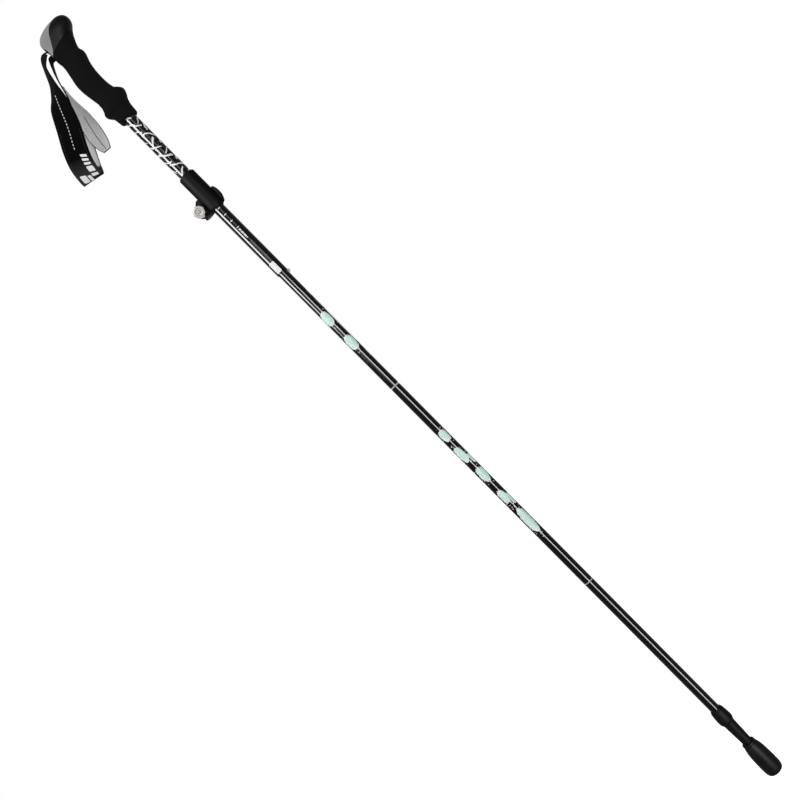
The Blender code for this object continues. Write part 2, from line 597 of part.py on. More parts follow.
def lever_section():
    """The lever's section beyond the collar, as (radius, height) from the inside foot round to the top."""
    inner = COLLAR_RADIUS + LEVER_BAND_GAP
    outer = inner + LEVER_BAND_THICKNESS
    low, tall = LEVER_LOW, LEVER_HEIGHT
    edge = LEVER_TOP_EDGE
    return [(inner, low), (inner + LEVER_FOOT, low), (outer - 0.9 * edge, low + 0.16 * tall),
            (outer - 0.1 * edge, low + 0.38 * tall), (outer, low + 0.58 * tall),
            (outer - 0.25 * edge, low + 0.82 * tall), (outer - edge, low + tall), (inner, low + tall)]


def build_lever(lever, looks):
    """The cam lever: a hub on the barrel nut and a band that wraps the collar's back."""
    steps = 22
    rings = []
    for i in range(steps + 1):
        angle = LEVER_END_ANGLE + (LEVER_ROOT_ANGLE + math.radians(4) - LEVER_END_ANGLE) * i / steps
        thin = 1.0 - LEVER_BAND_THINNING * max(0.0, 1.0 - i / 4) ** 2
        inner = COLLAR_RADIUS + LEVER_BAND_GAP
        ring = []
        for radius, height in lever_section():
            out = inner + (radius - inner) * thin
            ring.append((out * math.cos(angle) + SCREW_REACH, out * math.sin(angle) - PIVOT_Y, height))
        rings.append(ring)
    band = loft("lock_lever", rings, looks["matt plastic"])
    band.parent = lever

    inner = COLLAR_RADIUS + LEVER_BAND_GAP
    outer = inner + LEVER_BAND_THICKNESS - LEVER_TOP_EDGE
    outer_angle = LEVER_ROOT_ANGLE - math.radians(6)
    back = arc((0, 0), CAM_RADIUS, math.radians(75), math.radians(330), 24)
    root = [(inner * math.cos(LEVER_ROOT_ANGLE), inner * math.sin(LEVER_ROOT_ANGLE)),
            (outer * math.cos(outer_angle), outer * math.sin(outer_angle))]
    outline = [*((x + SCREW_REACH, y - PIVOT_Y) for x, y in root), *back]
    hub = prism("hub", outline, LEVER_LOW + LEVER_HUB_INSET, LEVER_HIGH - LEVER_HUB_INSET)
    hub.parent = lever
    cut(band, hub, "UNION")

    pin_way = rod("pin_way", BARREL_RADIUS + TURN_GAP, LEVER_LOW - CUT_REACH, LEVER_HIGH + CUT_REACH)
    pin_way.parent = lever
    cut(band, pin_way)

    clear = SCREW_RADIUS + 2 * TURN_GAP
    spare = math.asin(clear / CAM_RADIUS) + math.radians(3)
    sweep = arc((0, 0), 1.6 * CAM_RADIUS, 1.5 * math.pi - LEVER_OPENS - spare, 1.5 * math.pi + spare, 20)
    slot = prism("screw_slot", [(0, 0), *sweep], SCREW_Z - clear, SCREW_Z + clear)
    slot.parent = lever
    cut(band, slot)


GRIP_STATIONS = (
    # height above the grip's bottom, reach to the rear, reach to the front, half width
    (0.0000, 0.0109, 0.0107, 0.0106), (0.0012, 0.0119, 0.0116, 0.0115), (0.0055, 0.0124, 0.0120, 0.0119),
    (0.0123, 0.0137, 0.0127, 0.0124), (0.0163, 0.0168, 0.0138, 0.0137), (0.0198, 0.0183, 0.0152, 0.0142),
    (0.0243, 0.0162, 0.0178, 0.0146), (0.0293, 0.0146, 0.0192, 0.0146), (0.0333, 0.0144, 0.0164, 0.0142),
    (0.0373, 0.0142, 0.0128, 0.0137), (0.0463, 0.0156, 0.0110, 0.0136), (0.0583, 0.0172, 0.0107, 0.0140),
    (0.0683, 0.0170, 0.0114, 0.0143), (0.0783, 0.0150, 0.0133, 0.0141), (0.0843, 0.0138, 0.0154, 0.0138),
    (0.0905, 0.0128, 0.0170, 0.0136), (0.0968, 0.0126, 0.0154, 0.0134), (0.1033, 0.0135, 0.0168, 0.0137),
    (0.1103, 0.0129, 0.0200, 0.0142), (0.1143, 0.0127, 0.0219, 0.0146), (0.1193, 0.0138, 0.0256, 0.0151),
    (0.1233, 0.0146, 0.0292, 0.0154), (0.1258, 0.0138, 0.0304, 0.0153), (0.1283, 0.0118, 0.0310, 0.0149),
    (0.1313, 0.0083, 0.0308, 0.0138), (0.1343, 0.0018, 0.0295, 0.0117), (0.1366, -0.0050, 0.0270, 0.0090),
    (0.1381, -0.0100, 0.0240, 0.0060), (0.1388, -0.0140, 0.0205, 0.0028))


def grip_rings(bottom, top, facets=32):
    """Horizontal sections of the grip and its head between two heights above the grip's bottom.
    The head's rear is squarer than the foam, so that it covers the strap's slot from the sides."""
    rings = []
    stretch = GRIP_LENGTH / GRIP_STATIONS[-1][0]
    for station, rear, front, half_width in smooth(GRIP_STATIONS, 2):
        height = station * stretch
        if height < bottom or height > top + 1e-9:
            continue
        centre, half_length = (front - rear) / 2, (front + rear) / 2
        in_head = min(max((height - 0.85 * SEAM_HEIGHT) / (0.15 * SEAM_HEIGHT), 0.0), 1.0)
        rear_roundness = FOAM_ROUNDNESS + (HEAD_REAR_ROUNDNESS - FOAM_ROUNDNESS) * in_head
        ring = []
        for i in range(facets):
            c, s = math.cos(2 * math.pi * i / facets), math.sin(2 * math.pi * i / facets)
            power = 2 / (FOAM_ROUNDNESS if c > 0 else rear_roundness)
            x = centre + half_length * math.copysign(abs(c) ** power, c)
            y = half_width * math.copysign(abs(s) ** power, s)
            ring.append((x, y, GRIP_BOTTOM + height))
        rings.append(ring)
    return rings


def seam(x):
    """The height of the slanted seam between the foam and the head at a reach to the front."""
    return SEAM_Z + SEAM_SLOPE * x


def seam_side(name, above, gap=0.0):
    """A block that fills everything above or below the seam between the foam and the head."""
    reach = FAR_REACH
    z_left = seam(-reach) + gap
    z_right = seam(reach) + gap
    far = GRIP_TOP + reach if above else GRIP_BOTTOM - reach
    outline = [(-reach, z_left), (reach, z_right), (reach, far), (-reach, far)]
    return prism(name, outline, -reach, reach, axis="Y")


# The cap's edge in side view: along X, and up from just above the seam
CAP_EDGE = ((0.030, 0.0265), (0.0125, 0.0205), (0.0028, 0.0127), (-0.0042, 0.0019), (-0.0092, -0.0059),
            (-0.0170, -0.0110), (-0.030, -0.0170))


def cap_side(name, gap):
    """A block that fills everything behind the curve where the grey cap meets the head's core."""
    shift = gap / math.sqrt(2)
    curve = [(x - shift, SEAM_Z + CAP_EDGE_ABOVE_SEAM + z + shift) for x, z in smooth(CAP_EDGE, 4)]
    far = GRIP_TOP + FAR_REACH
    outline = [*curve, (-FAR_REACH, curve[-1][1]), (-FAR_REACH, far), (curve[0][0], far)]
    return prism(name, outline, -FAR_REACH / 2, FAR_REACH / 2, axis="Y")


def build_grip(handle, looks):
    """The foam over the tube, the head's core plugged into the tube, and the cap over the strap's seat."""
    foam = loft("grip_foam", grip_rings(0.0, SEAM_HEIGHT + SEAM_LAP), looks["foam"])
    cut(foam, seam_side("over_foam", above=True))
    bore_radius = UPPER_TUBE_RADIUS + SEAT_GAP
    cut(foam, rod("foam_bore", bore_radius, GRIP_BOTTOM - CUT_REACH, GRIP_TOP, facets=PART_FACETS))
    foam.parent = handle

    shell = grip_rings(SEAM_HEIGHT - SEAM_LAP, GRIP_LENGTH)
    core = loft("head_core", shell, looks["head plastic"])
    cap = loft("head_cap", shell, looks["grey plastic"])
    cut(core, cap_side("cap_room", 0.0))
    cut(cap, cap_side("cap_block", SEAT_GAP), "INTERSECT")
    under_head = seam_side("under_head", above=False, gap=SEAT_GAP)
    cut(core, under_head)
    cut(cap, under_head)

    plug_bottom = UPPER_TUBE_TOP - HEAD_PLUG_LENGTH
    shoulder = UPPER_TUBE_TOP + SEAT_GAP
    neck = SEAM_Z + HEAD_NECK_RISE
    inside = UPPER_TUBE_BORE - SEAT_GAP
    profile = [(0, plug_bottom), (inside, plug_bottom), (inside, shoulder), (UPPER_TUBE_RADIUS, shoulder),
               (UPPER_TUBE_RADIUS, neck), (0, neck)]
    plug = turned("head_plug", profile, facets=PART_FACETS)
    cut(core, plug, "UNION")

    high = SLOT_Z + SLOT_ROOF_ABOVE_CENTRE
    deep = SLOT_MOUTH_X + SLOT_DEPTH
    sill, mouth = SLOT_MOUTH_X + 0.55 * SLOT_DEPTH, SLOT_MOUTH_X + 0.3 * SLOT_DEPTH
    corner = SLOT_CORNER_RADIUS
    slot_outline = [(-FAR_REACH, seam(-FAR_REACH)), (mouth, seam(mouth) - SEAT_GAP),
                    (sill, seam(sill) + SLOT_SILL), (deep, seam(deep) + SLOT_SILL),
                    *arc((deep - corner, high - corner), corner, 0, math.pi / 2, 4), (-FAR_REACH, high)]
    slot = prism("strap_slot", slot_outline, -SLOT_WIDTH / 2, SLOT_WIDTH / 2, axis="Y")
    seat = rod("pin_seat", PIN_RADIUS + SEAT_GAP, -(SLOT_WIDTH / 2 + PIN_SEAT_DEPTH + SEAT_GAP),
               SLOT_WIDTH / 2 + PIN_SEAT_DEPTH + SEAT_GAP)
    pin = rod("strap_pin", PIN_RADIUS, -(SLOT_WIDTH / 2 + PIN_SEAT_DEPTH), SLOT_WIDTH / 2 + PIN_SEAT_DEPTH,
              looks["steel"])
    for piece in (seat, pin):
        piece.location = (PIN_X, 0, SLOT_Z)
        piece.rotation_euler = (math.pi / 2, 0, 0)
    for piece in (core, cap):
        cut(piece, slot)
        cut(piece, seat)
    for piece in (core, cap, pin):
        piece.parent = handle


def build_strap_seat(handle, looks):
    """The webbing's turn round the pin inside the head, and the wedge between its two strands."""
    half = WEBBING_THICKNESS / 2
    radius = PIN_RADIUS + SEAT_GAP + half
    mouth = SLOT_MOUTH_X + SEAT_GAP
    spread = STRAND_SPREAD
    bend_x, bend_spread = PIN_X - 2 * PIN_RADIUS, radius + PIN_RADIUS / 2
    path = [(mouth, SLOT_Z + spread), (mouth + half, SLOT_Z + spread), (bend_x, SLOT_Z + bend_spread),
            *arc((PIN_X, SLOT_Z), radius, math.radians(80), math.radians(-80), 10),
            (bend_x, SLOT_Z - bend_spread), (mouth + half, SLOT_Z - spread), (mouth, SLOT_Z - spread)]
    outer, inner = [], []
    for i, (x, z) in enumerate(path):
        before, after = Vector(path[max(i - 1, 0)]), Vector(path[min(i + 1, len(path) - 1)])
        along = (after - before).normalized()
        outer.append((x - along.y * half, z + along.x * half))
        inner.append((x + along.y * half, z - along.x * half))
    width = STRAP_WIDTH_AT_SLOT / 2
    prism("strap_turn", outer + inner[::-1], -width, width, looks["webbing"], axis="Y").parent = handle

    thick = STRAND_SPREAD - half - SEAT_GAP
    thin = radius - half + 0.0005 - SEAT_GAP
    wedge_end = PIN_X - PIN_RADIUS - 0.0012
    outline = [(mouth + 0.001, SLOT_Z - thick + 0.0002), (wedge_end, SLOT_Z - thin),
               (wedge_end, SLOT_Z + thin), (mouth + 0.001, SLOT_Z + thick - 0.0002)]
    prism("strap_wedge", outline, -width, width, looks["matt plastic"], axis="Y").parent = handle


# Strap routes from the slot's mouth: along X, along Y, up Z, width, then the direction across
UPPER_STRAND = STRAND_SPREAD - (SEAT_GAP + WEBBING_THICKNESS) / 2
LOWER_STRAND = -STRAND_SPREAD - (SEAT_GAP + WEBBING_THICKNESS) / 2
BAND_ROUTE = (
    (-0.0004, 0.0000, UPPER_STRAND, STRAP_WIDTH_AT_SLOT, 0.00, -1.00, 0.00),
    (-0.0022, 0.0000, UPPER_STRAND, STRAP_WIDTH_AT_SLOT, 0.00, -1.00, 0.00),
    (-0.0043, -0.0001, 0.0030, STRAP_WIDTH_AT_SLOT, 0.04, -1.00, 0.00),
    (-0.0070, -0.0005, -0.0015, STRAP_WIDTH_AT_SLOT, 0.10, -0.99, 0.00),
    (-0.0124, -0.0020, -0.0121, 0.0170, 0.18, -0.98, 0.00),
    (-0.0174, -0.0040, -0.0262, 0.0185, 0.32, -0.94, -0.10),
    (-0.0222, -0.0066, -0.0395, 0.0215, 0.60, -0.78, -0.26),
    (-0.0300, -0.0100, -0.0560, 0.0248, 0.83, -0.34, -0.42),
    (-0.0410, -0.0126, -0.0784, STRAP_BAND_WIDTH, 0.88, -0.04, -0.47),
    (-0.0531, -0.0130, -0.1004, STRAP_BAND_WIDTH, 0.89, 0.00, -0.45),
    (-0.0605, -0.0110, -0.1165, STRAP_BAND_WIDTH, 0.93, 0.02, -0.34),
    (-0.0636, -0.0062, -0.1290, STRAP_BAND_WIDTH, 0.97, 0.03, -0.22),
    (-0.0640, 0.0005, -0.1336, STRAP_BAND_WIDTH, 0.98, 0.03, -0.17),
    (-0.0625, 0.0072, -0.1280, STRAP_BAND_WIDTH, 0.96, 0.02, -0.25),
    (-0.0580, 0.0112, -0.1155, STRAP_BAND_WIDTH, 0.92, 0.00, -0.38),
    (-0.0510, 0.0122, -0.1010, STRAP_BAND_WIDTH, 0.90, 0.00, -0.43),
    (-0.0430, 0.0121, -0.0875, STRAP_BAND_WIDTH, 0.90, 0.00, -0.43),
    (-0.0368, 0.0120, -0.0775, STRAP_BAND_WIDTH, 0.90, 0.00, -0.43))
TONGUE_ROUTE = (
    (-0.0004, 0.0000, LOWER_STRAND, STRAP_WIDTH_AT_SLOT, 0.00, -1.00, 0.00),
    (-0.0018, 0.0000, LOWER_STRAND, STRAP_WIDTH_AT_SLOT, 0.00, -1.00, 0.00),
    (-0.0033, 0.0001, -0.0070, STRAP_WIDTH_AT_SLOT, 0.02, -1.00, 0.00),
    (-0.0053, 0.0005, -0.0120, STRAP_WIDTH_AT_SLOT, 0.06, -1.00, 0.00),
    (-0.0096, 0.0020, -0.0257, 0.0165, 0.12, -0.99, 0.00),
    (-0.0130, 0.0036, -0.0380, 0.0170, 0.08, -1.00, 0.00),
    (-0.0162, 0.0055, -0.0510, 0.0185, -0.10, -0.99, 0.03),
    (-0.0191, 0.0068, -0.0620, STRAP_TONGUE_WIDTH, -0.42, -0.90, 0.09),
    (-0.0222, 0.0078, -0.0740, STRAP_TONGUE_WIDTH, -0.78, -0.60, 0.17),
    (-0.0255, 0.0083, -0.0870, STRAP_TONGUE_WIDTH, -0.95, -0.20, 0.22),
    (-0.0280, 0.0084, -0.1000, STRAP_TONGUE_WIDTH, -0.97, 0.00, 0.22),
    (-0.0293, 0.0084, -0.1105, 0.0165, -0.97, 0.00, 0.22),
    (-0.0300, 0.0084, -0.1185, 0.0100, -0.97, 0.00, 0.22))
BAND_LINING_START = 30


def ribbon(name, route, low, high, look, first=0):
    """A flat band along a route, between two offsets from its middle towards the loop's inside.
    It begins at the given step of the route, five steps for each station."""
    rows = smooth(route, 5)
    centres = [Vector(row[:3]) for row in rows]
    rings = []
    for i, row in enumerate(rows):
        along = (centres[min(i + 1, len(rows) - 1)] - centres[max(i - 1, 0)]).normalized()
        across = Vector(row[4:7])
        across = (across - along * across.dot(along)).normalized()
        inwards = across.cross(along)
        half = row[3] / 2
        corners = ((-half, low), (half, low), (half, high), (-half, high))
        rings.append([centres[i] + across * side + inwards * depth for side, depth in corners])
    return loft(name, rings[first:], look, splits=(True, True, False, True))


def build_strap(strap, looks):
    """The outer band, which turns back at the bottom, and the tongue sewn over its end."""
    middle = SEAT_GAP / 2
    lining_top = middle + LINING_THICKNESS
    parts = (("strap_band", BAND_ROUTE, BAND_LINING_START), ("strap_tongue", TONGUE_ROUTE, 0))
    for name, route, first in parts:
        webbing = ribbon(name, route, -middle - WEBBING_THICKNESS, -middle, looks["webbing"])
        lining = ribbon(name + "_lining", route, middle, lining_top, looks["lining"], first)
        for piece in (webbing, lining):
            piece.location.z = -STRAP_HINGE_ABOVE_SLOT
            piece.parent = strap


def main():
    for item in list(bpy.data.objects):
        bpy.data.objects.remove(item, do_unlink=True)

    looks = {
        "rubber": material("rubber", "161616", 0.75),
        "matt plastic": material("matt_plastic", "1c1c1c", 0.55),
        "head plastic": material("head_plastic", "101010", 0.45),
        "grey plastic": material("grey_plastic", "989898", 0.5),
        "gloss black": material("gloss_black", "0a0a0a", 0.2),
        "silver": material("silver", "c8c8c8", 0.3, 1.0),
        "steel": material("steel", "b8b8b8", 0.35, 1.0),
        "cord": material("cord", "2a2a2a", 0.9),
        "foam": material("foam", "161616", 0.95),
        "webbing": material("webbing", "141414", 0.85),
        "lining": material("lining", "8a8a8a", 0.9),
    }

    handle = empty("handle")
    lock = empty("lock", turn=-LOCK_TURN, parent=handle)
    lever = empty("lever_pivot", (-SCREW_REACH, PIVOT_Y, 0), parent=lock)
    nut = empty("nut_axis", parent=lock)
    nut.location = (-SCREW_REACH, NUT_BACK - NUT_LENGTH, SCREW_Z)
    nut.rotation_euler = (-math.pi / 2, 0, 0)
    strap = empty("strap_hinge", (SLOT_MOUTH_X, 0, SLOT_Z + STRAP_HINGE_ABOVE_SLOT), parent=handle)
    adjuster = empty("adjuster", parent=handle)
    button = empty("button", (0, 0, BUTTON_HEIGHT), parent=adjuster)
    middle = empty("middle", parent=adjuster)
    lower = empty("lower", parent=middle)
    boot = empty("boot", parent=lower)

    build_tip(lower, boot, looks)
    build_folding_tubes(adjuster, middle, lower, looks)
    build_adjusting_tube(adjuster, looks)
    build_cord(adjuster, lower, looks)
    build_button(adjuster, button, looks)
    tube("upper_tube", UPPER_TUBE_RADIUS, UPPER_TUBE_BORE, UPPER_TUBE_BOTTOM, UPPER_TUBE_TOP,
         looks["gloss black"]).parent = handle
    screw_way = build_collar(lock, looks)
    build_screw(lock, nut, screw_way, looks)
    build_lever(lever, looks)
    build_grip(handle, looks)
    build_strap_seat(handle, looks)
    build_strap(strap, looks)


if __name__ == "__main__":
    main()
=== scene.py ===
"""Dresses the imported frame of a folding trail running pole: finer shapes over the frame's solids, a sewn
wrist strap, printed tubes and a bright studio. Metres, +Z up along the pole, +X the way the grip leans."""

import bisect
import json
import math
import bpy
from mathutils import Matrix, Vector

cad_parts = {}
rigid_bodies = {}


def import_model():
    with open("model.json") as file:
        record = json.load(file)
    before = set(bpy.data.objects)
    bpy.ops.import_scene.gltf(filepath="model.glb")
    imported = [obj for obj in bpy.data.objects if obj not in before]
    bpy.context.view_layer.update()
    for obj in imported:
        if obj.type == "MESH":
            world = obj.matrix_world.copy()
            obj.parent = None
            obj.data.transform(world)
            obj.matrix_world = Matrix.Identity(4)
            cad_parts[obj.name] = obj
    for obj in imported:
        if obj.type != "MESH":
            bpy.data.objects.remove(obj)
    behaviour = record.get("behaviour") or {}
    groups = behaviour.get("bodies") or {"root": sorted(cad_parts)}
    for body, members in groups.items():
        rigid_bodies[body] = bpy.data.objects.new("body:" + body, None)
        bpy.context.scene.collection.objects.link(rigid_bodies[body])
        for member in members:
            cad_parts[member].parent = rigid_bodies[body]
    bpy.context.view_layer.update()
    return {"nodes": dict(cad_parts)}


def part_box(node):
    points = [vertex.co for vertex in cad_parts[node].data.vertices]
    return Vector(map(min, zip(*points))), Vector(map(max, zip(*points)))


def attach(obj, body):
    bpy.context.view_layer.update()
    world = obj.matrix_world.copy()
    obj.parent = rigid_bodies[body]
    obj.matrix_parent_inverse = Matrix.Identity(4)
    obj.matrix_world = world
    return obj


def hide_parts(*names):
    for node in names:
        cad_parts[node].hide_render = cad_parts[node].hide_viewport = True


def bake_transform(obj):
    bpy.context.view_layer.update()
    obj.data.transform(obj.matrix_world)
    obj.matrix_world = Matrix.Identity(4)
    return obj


bl_info = {
    "name": "Trail running pole",
    "version": (1, 0, 0),
    "blender": (4, 5, 0),
    "location": "3D View > Sidebar > Pole",
    "description": "Dresses the frame of a folding trail running pole",
    "category": "Object",
}

import bmesh
import bpy
from mathutils import Matrix, Vector

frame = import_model()


# Colours and small helpers

def linear(colour):
    """An sRGB hex colour as linear red, green, blue and full opacity."""
    channels = [int(colour[i:i + 2], 16) / 255 for i in (0, 2, 4)]
    return (*[c / 12.92 if c <= 0.04045 else ((c + 0.055) / 1.055) ** 2.4 for c in channels], 1.0)


MATH = "ShaderNodeMath"
VECTOR = "ShaderNodeVectorMath"
RANGE = "ShaderNodeMapRange"
NOISE = "ShaderNodeTexNoise"
WAVE = "ShaderNodeTexWave"
CELLS = "ShaderNodeTexVoronoi"
BUMP = "ShaderNodeBump"
WHITE = (1.0, 1.0, 1.0, 1.0)


def feed(tree, node, inputs):
    """Set or link a node's inputs, given by name or in their order."""
    for name, value in inputs.items() if isinstance(inputs, dict) else enumerate(inputs):
        if isinstance(value, bpy.types.NodeSocket):
            tree.links.new(value, node.inputs[name])
        else:
            node.inputs[name].default_value = value


def add(tree, kind, inputs=(), output=0, **settings):
    """Add a node with its settings and inputs, and give back one of its outputs."""
    made = tree.nodes.new(kind)
    for name, value in settings.items():
        setattr(made, name, value)
    feed(tree, made, inputs)
    return made.outputs[output]


def worked(tree, value, *steps):
    """A value after steps of arithmetic, each an operation and what else it takes."""
    for operation, *others in steps:
        value = add(tree, MATH, (value, *others), operation=operation)
    return value


def coated(tree, ground, *coats):
    """A ground colour under coats of other colours, each with the mask of where it lies."""
    for mask, colour in coats:
        ground = add(tree, "ShaderNodeMix", {"Factor": mask, "A": ground, "B": colour}, 2, data_type="RGBA")
    return ground


def most(tree, masks):
    """One mask that lies wherever any of several does."""
    return worked(tree, masks[0], *[("MAXIMUM", mask) for mask in masks[1:]])


def shade(tone, share):
    """A colour made darker or lighter, with full opacity."""
    return (*[share * c for c in tone[:3]], 1.0)


def uneven(tree, noise, low, high):
    """A value that wanders between two levels with a noise, most of which lies from 0.3 to 0.7."""
    return add(tree, RANGE, {"Value": noise, "From Min": 0.3, "From Max": 0.7, "To Min": low, "To Max": high})


def material(name):
    """A new material with its node tree, its Principled shader and the piece's own coordinates."""
    look = bpy.data.materials.new(name)
    look.use_nodes = True
    tree = look.node_tree
    return look, tree, tree.nodes["Principled BSDF"], add(tree, "ShaderNodeTexCoord", output="Object")


# Shapes

FACETS = 96
TURNS = [2 * math.pi * i / FACETS for i in range(FACETS)]


def smooth(points, steps):
    """A smooth curve through the points, with the given number of steps between neighbours."""
    padded = [points[0], *points, points[-1]]
    curve = []
    for before, start, end, after in zip(padded, padded[1:], padded[2:], padded[3:]):
        for step in range(steps):
            t = step / steps
            weights = (-t + 2 * t * t - t ** 3, 2 - 5 * t * t + 3 * t ** 3,
                       t + 4 * t * t - 3 * t ** 3, t ** 3 - t * t)
            columns = zip(before, start, end, after)
            curve.append([sum(w * v for w, v in zip(weights, column)) / 2 for column in columns])
    curve.append(list(points[-1]))
    return curve


def eased(profile, radius, closed=False):
    """The outline with a small round in place of each corner that turns by 25 degrees or more. A round takes
    up to 0.42 of a side."""
    points = [Vector(point) for point in profile]
    count = len(points)
    result = []
    for i, corner in enumerate(points):
        back, ahead = points[i - 1] - corner, points[(i + 1) % count] - corner
        at_end = not closed and i in (0, count - 1)
        if at_end or min(back.length, ahead.length) < 1e-7 or math.degrees(back.angle(-ahead)) < 25:
            result.append(tuple(corner))
            continue
        start = corner + back.normalized() * min(radius, 0.42 * back.length)
        end = corner + ahead.normalized() * min(radius, 0.42 * ahead.length)
        for t in (0.0, 0.25, 0.5, 0.75, 1.0):
            result.append(tuple(start * (1 - t) ** 2 + corner * 2 * t * (1 - t) + end * t * t))
    return result


def arc(x, y, radius, angles):
    """Points round a centre at the given angles."""
    return [(x + radius * math.cos(a), y + radius * math.sin(a)) for a in angles]


def placed(name, data):
    """A new object in the scene."""
    made = bpy.data.objects.new(name, data)
    bpy.context.scene.collection.objects.link(made)
    return made


def finished(bm, name, look, sharp=35):
    """Turn a bmesh into an object whose faces point out and whose round stretches shade smooth."""
    bmesh.ops.remove_doubles(bm, verts=bm.verts, dist=1e-6)
    bmesh.ops.recalc_face_normals(bm, faces=bm.faces)
    mesh = bpy.data.meshes.new(name)
    bm.to_mesh(mesh)
    bm.free()
    mesh.shade_smooth()
    mesh.set_sharp_from_angle(angle=math.radians(sharp))
    mesh.materials.append(look)
    return placed(name, mesh)


def join_rings(bm, rings, wrapped=False, capped=False):
    """Faces between rings of equally many points; wrapped joins the last ring to the first, and capped
    closes both ends."""
    rows = [[bm.verts.new(point) for point in ring] for ring in rings]
    following = rows[1:] + rows[:1] if wrapped else rows[1:]
    for low, high in zip(rows, following):
        for i in range(len(low)):
            j = (i + 1) % len(low)
            bm.faces.new((low[i], low[j], high[j], high[i]))
    if capped:
        bm.faces.new(rows[0][::-1])
        bm.faces.new(rows[-1])
    return rows


def turned(name, profile, look, ring=False, ease=0.0002, sharp=35):
    """Spin (radius, height) points about Z, with eased corners. A ring's profile is closed."""
    bm = bmesh.new()
    join_rings(bm, [[(x, y, height) for x, y in arc(0, 0, radius, TURNS)]
                    for radius, height in eased(profile, ease, ring)], wrapped=ring)
    return finished(bm, name, look, sharp)


def evaluated(piece):
    """The piece's mesh with its modifiers applied; the modifiers go."""
    graph = bpy.context.evaluated_depsgraph_get()
    mesh = bpy.data.meshes.new_from_object(piece.evaluated_get(graph))
    mesh.name = piece.name
    piece.modifiers.clear()
    piece.data = mesh
    return piece


def carve(piece, tool, operation="DIFFERENCE"):
    """Cut the piece by a tool or keep what they share, and remove the tool."""
    step = piece.modifiers.new("cut", "BOOLEAN")
    step.operation = operation
    step.solver = "EXACT"
    step.object = tool
    evaluated(piece)
    bpy.data.objects.remove(tool, do_unlink=True)


def soften_edges(bm, width, angle=35, segments=2):
    """Round off every edge that is sharper than the angle, in degrees."""
    edges = [e for e in bm.edges if len(e.link_faces) == 2 and e.calc_face_angle(0) > math.radians(angle)]
    bmesh.ops.bevel(bm, geom=edges, offset=width, segments=segments, profile=0.5, affect="EDGES",
                    clamp_overlap=True)


def softened_copy(node, name, look, width, angle=35):
    """A merged copy of a frame node with its edges rounded off, for parts moulded or machined to shape."""
    bm = bmesh.new()
    bm.from_mesh(frame["nodes"][node].data)
    bmesh.ops.remove_doubles(bm, verts=bm.verts, dist=2e-6)
    bmesh.ops.dissolve_limit(bm, angle_limit=math.radians(1), verts=bm.verts, edges=bm.edges)
    soften_edges(bm, width, angle)
    return finished(bm, name, look, sharp=40)


def ride(piece, body, slot, *nodes):
    """Keep flat stretches flat in the shading, hide the frame nodes that it stands for, and put it on its
    body.
    The name of the piece's finish, slot, is not used."""
    step = piece.modifiers.new("flat_faces_lead", "WEIGHTED_NORMAL")
    step.keep_sharp = True
    evaluated(piece)
    if nodes:
        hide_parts(*nodes)
    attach(piece, body)
    return piece


# Sizes, in metres

GRIP_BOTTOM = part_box("grip_foam")[0].z
GRIP_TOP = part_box("head_cap")[1].z
TUBE_BORE_IN_GRIP = 0.00795
SEAM_HEIGHT = 0.1096
SEAM_SLOPE = 0.28
SEAM_GAP = 0.0003
SEAM_Z = GRIP_BOTTOM + SEAM_HEIGHT
SLOT_Z = SEAM_Z + 0.0049
SLOT_MOUTH_X = -0.0134
SLOT_WIDTH = 0.0176
HEAD_BELOW_SEAM = 0.015
SLOT_HEIGHT = 0.0074
SLOT_DEPTH = 0.0130
SLOT_CORNER = 0.0030
SLOT_SILL = 0.0016
# Powers of the oval sections: 2 is an ellipse, and more is squarer
HAND_ROUNDNESS = 2.3
HEAD_ROUNDNESS = 5.0
GRIP_STATIONS = (
    # height above the grip's bottom, reach to the rear, reach to the front, half width
    (0.0000, 0.0109, 0.0107, 0.0106), (0.0012, 0.0119, 0.0116, 0.0115), (0.0055, 0.0124, 0.0120, 0.0119),
    (0.0123, 0.0137, 0.0127, 0.0124), (0.0163, 0.0168, 0.0138, 0.0137), (0.0198, 0.0183, 0.0152, 0.0142),
    (0.0243, 0.0162, 0.0178, 0.0146), (0.0293, 0.0146, 0.0192, 0.0146), (0.0333, 0.0144, 0.0164, 0.0142),
    (0.0373, 0.0142, 0.0128, 0.0137), (0.0463, 0.0156, 0.0110, 0.0136), (0.0583, 0.0172, 0.0107, 0.0140),
    (0.0683, 0.0170, 0.0114, 0.0143), (0.0783, 0.0150, 0.0133, 0.0141), (0.0843, 0.0138, 0.0154, 0.0138),
    (0.0905, 0.0128, 0.0170, 0.0136), (0.0968, 0.0126, 0.0154, 0.0134), (0.1033, 0.0135, 0.0168, 0.0137),
    (0.1103, 0.0129, 0.0200, 0.0142), (0.1143, 0.0127, 0.0219, 0.0146), (0.1193, 0.0138, 0.0256, 0.0151),
    (0.1233, 0.0146, 0.0292, 0.0154), (0.1258, 0.0138, 0.0304, 0.0153), (0.1283, 0.0118, 0.0310, 0.0149),
    (0.1313, 0.0083, 0.0308, 0.0138), (0.1343, 0.0018, 0.0295, 0.0117), (0.1366, -0.0050, 0.0270, 0.0090),
    (0.1381, -0.0100, 0.0240, 0.0060), (0.1388, -0.0140, 0.0205, 0.0028))
GRIP_CURVE = smooth(GRIP_STATIONS, 6)
# Where the cap meets the core, as (x, z) from the front of the head to its rear
CAP_EDGE = ((0.0315, 0.0265), (0.0140, 0.0205), (0.0043, 0.0127), (-0.0027, 0.0019), (-0.0082, -0.0059),
            (-0.0165, -0.0110), (-0.030, -0.0170))
CAP_EDGE_ABOVE_SEAM = 0.0048
# How far the tools that cut the head reach past it
AROUND_HEAD = 0.06
BESIDE_HEAD = 0.03

WEBBING = 0.0012
LINING = 0.0009
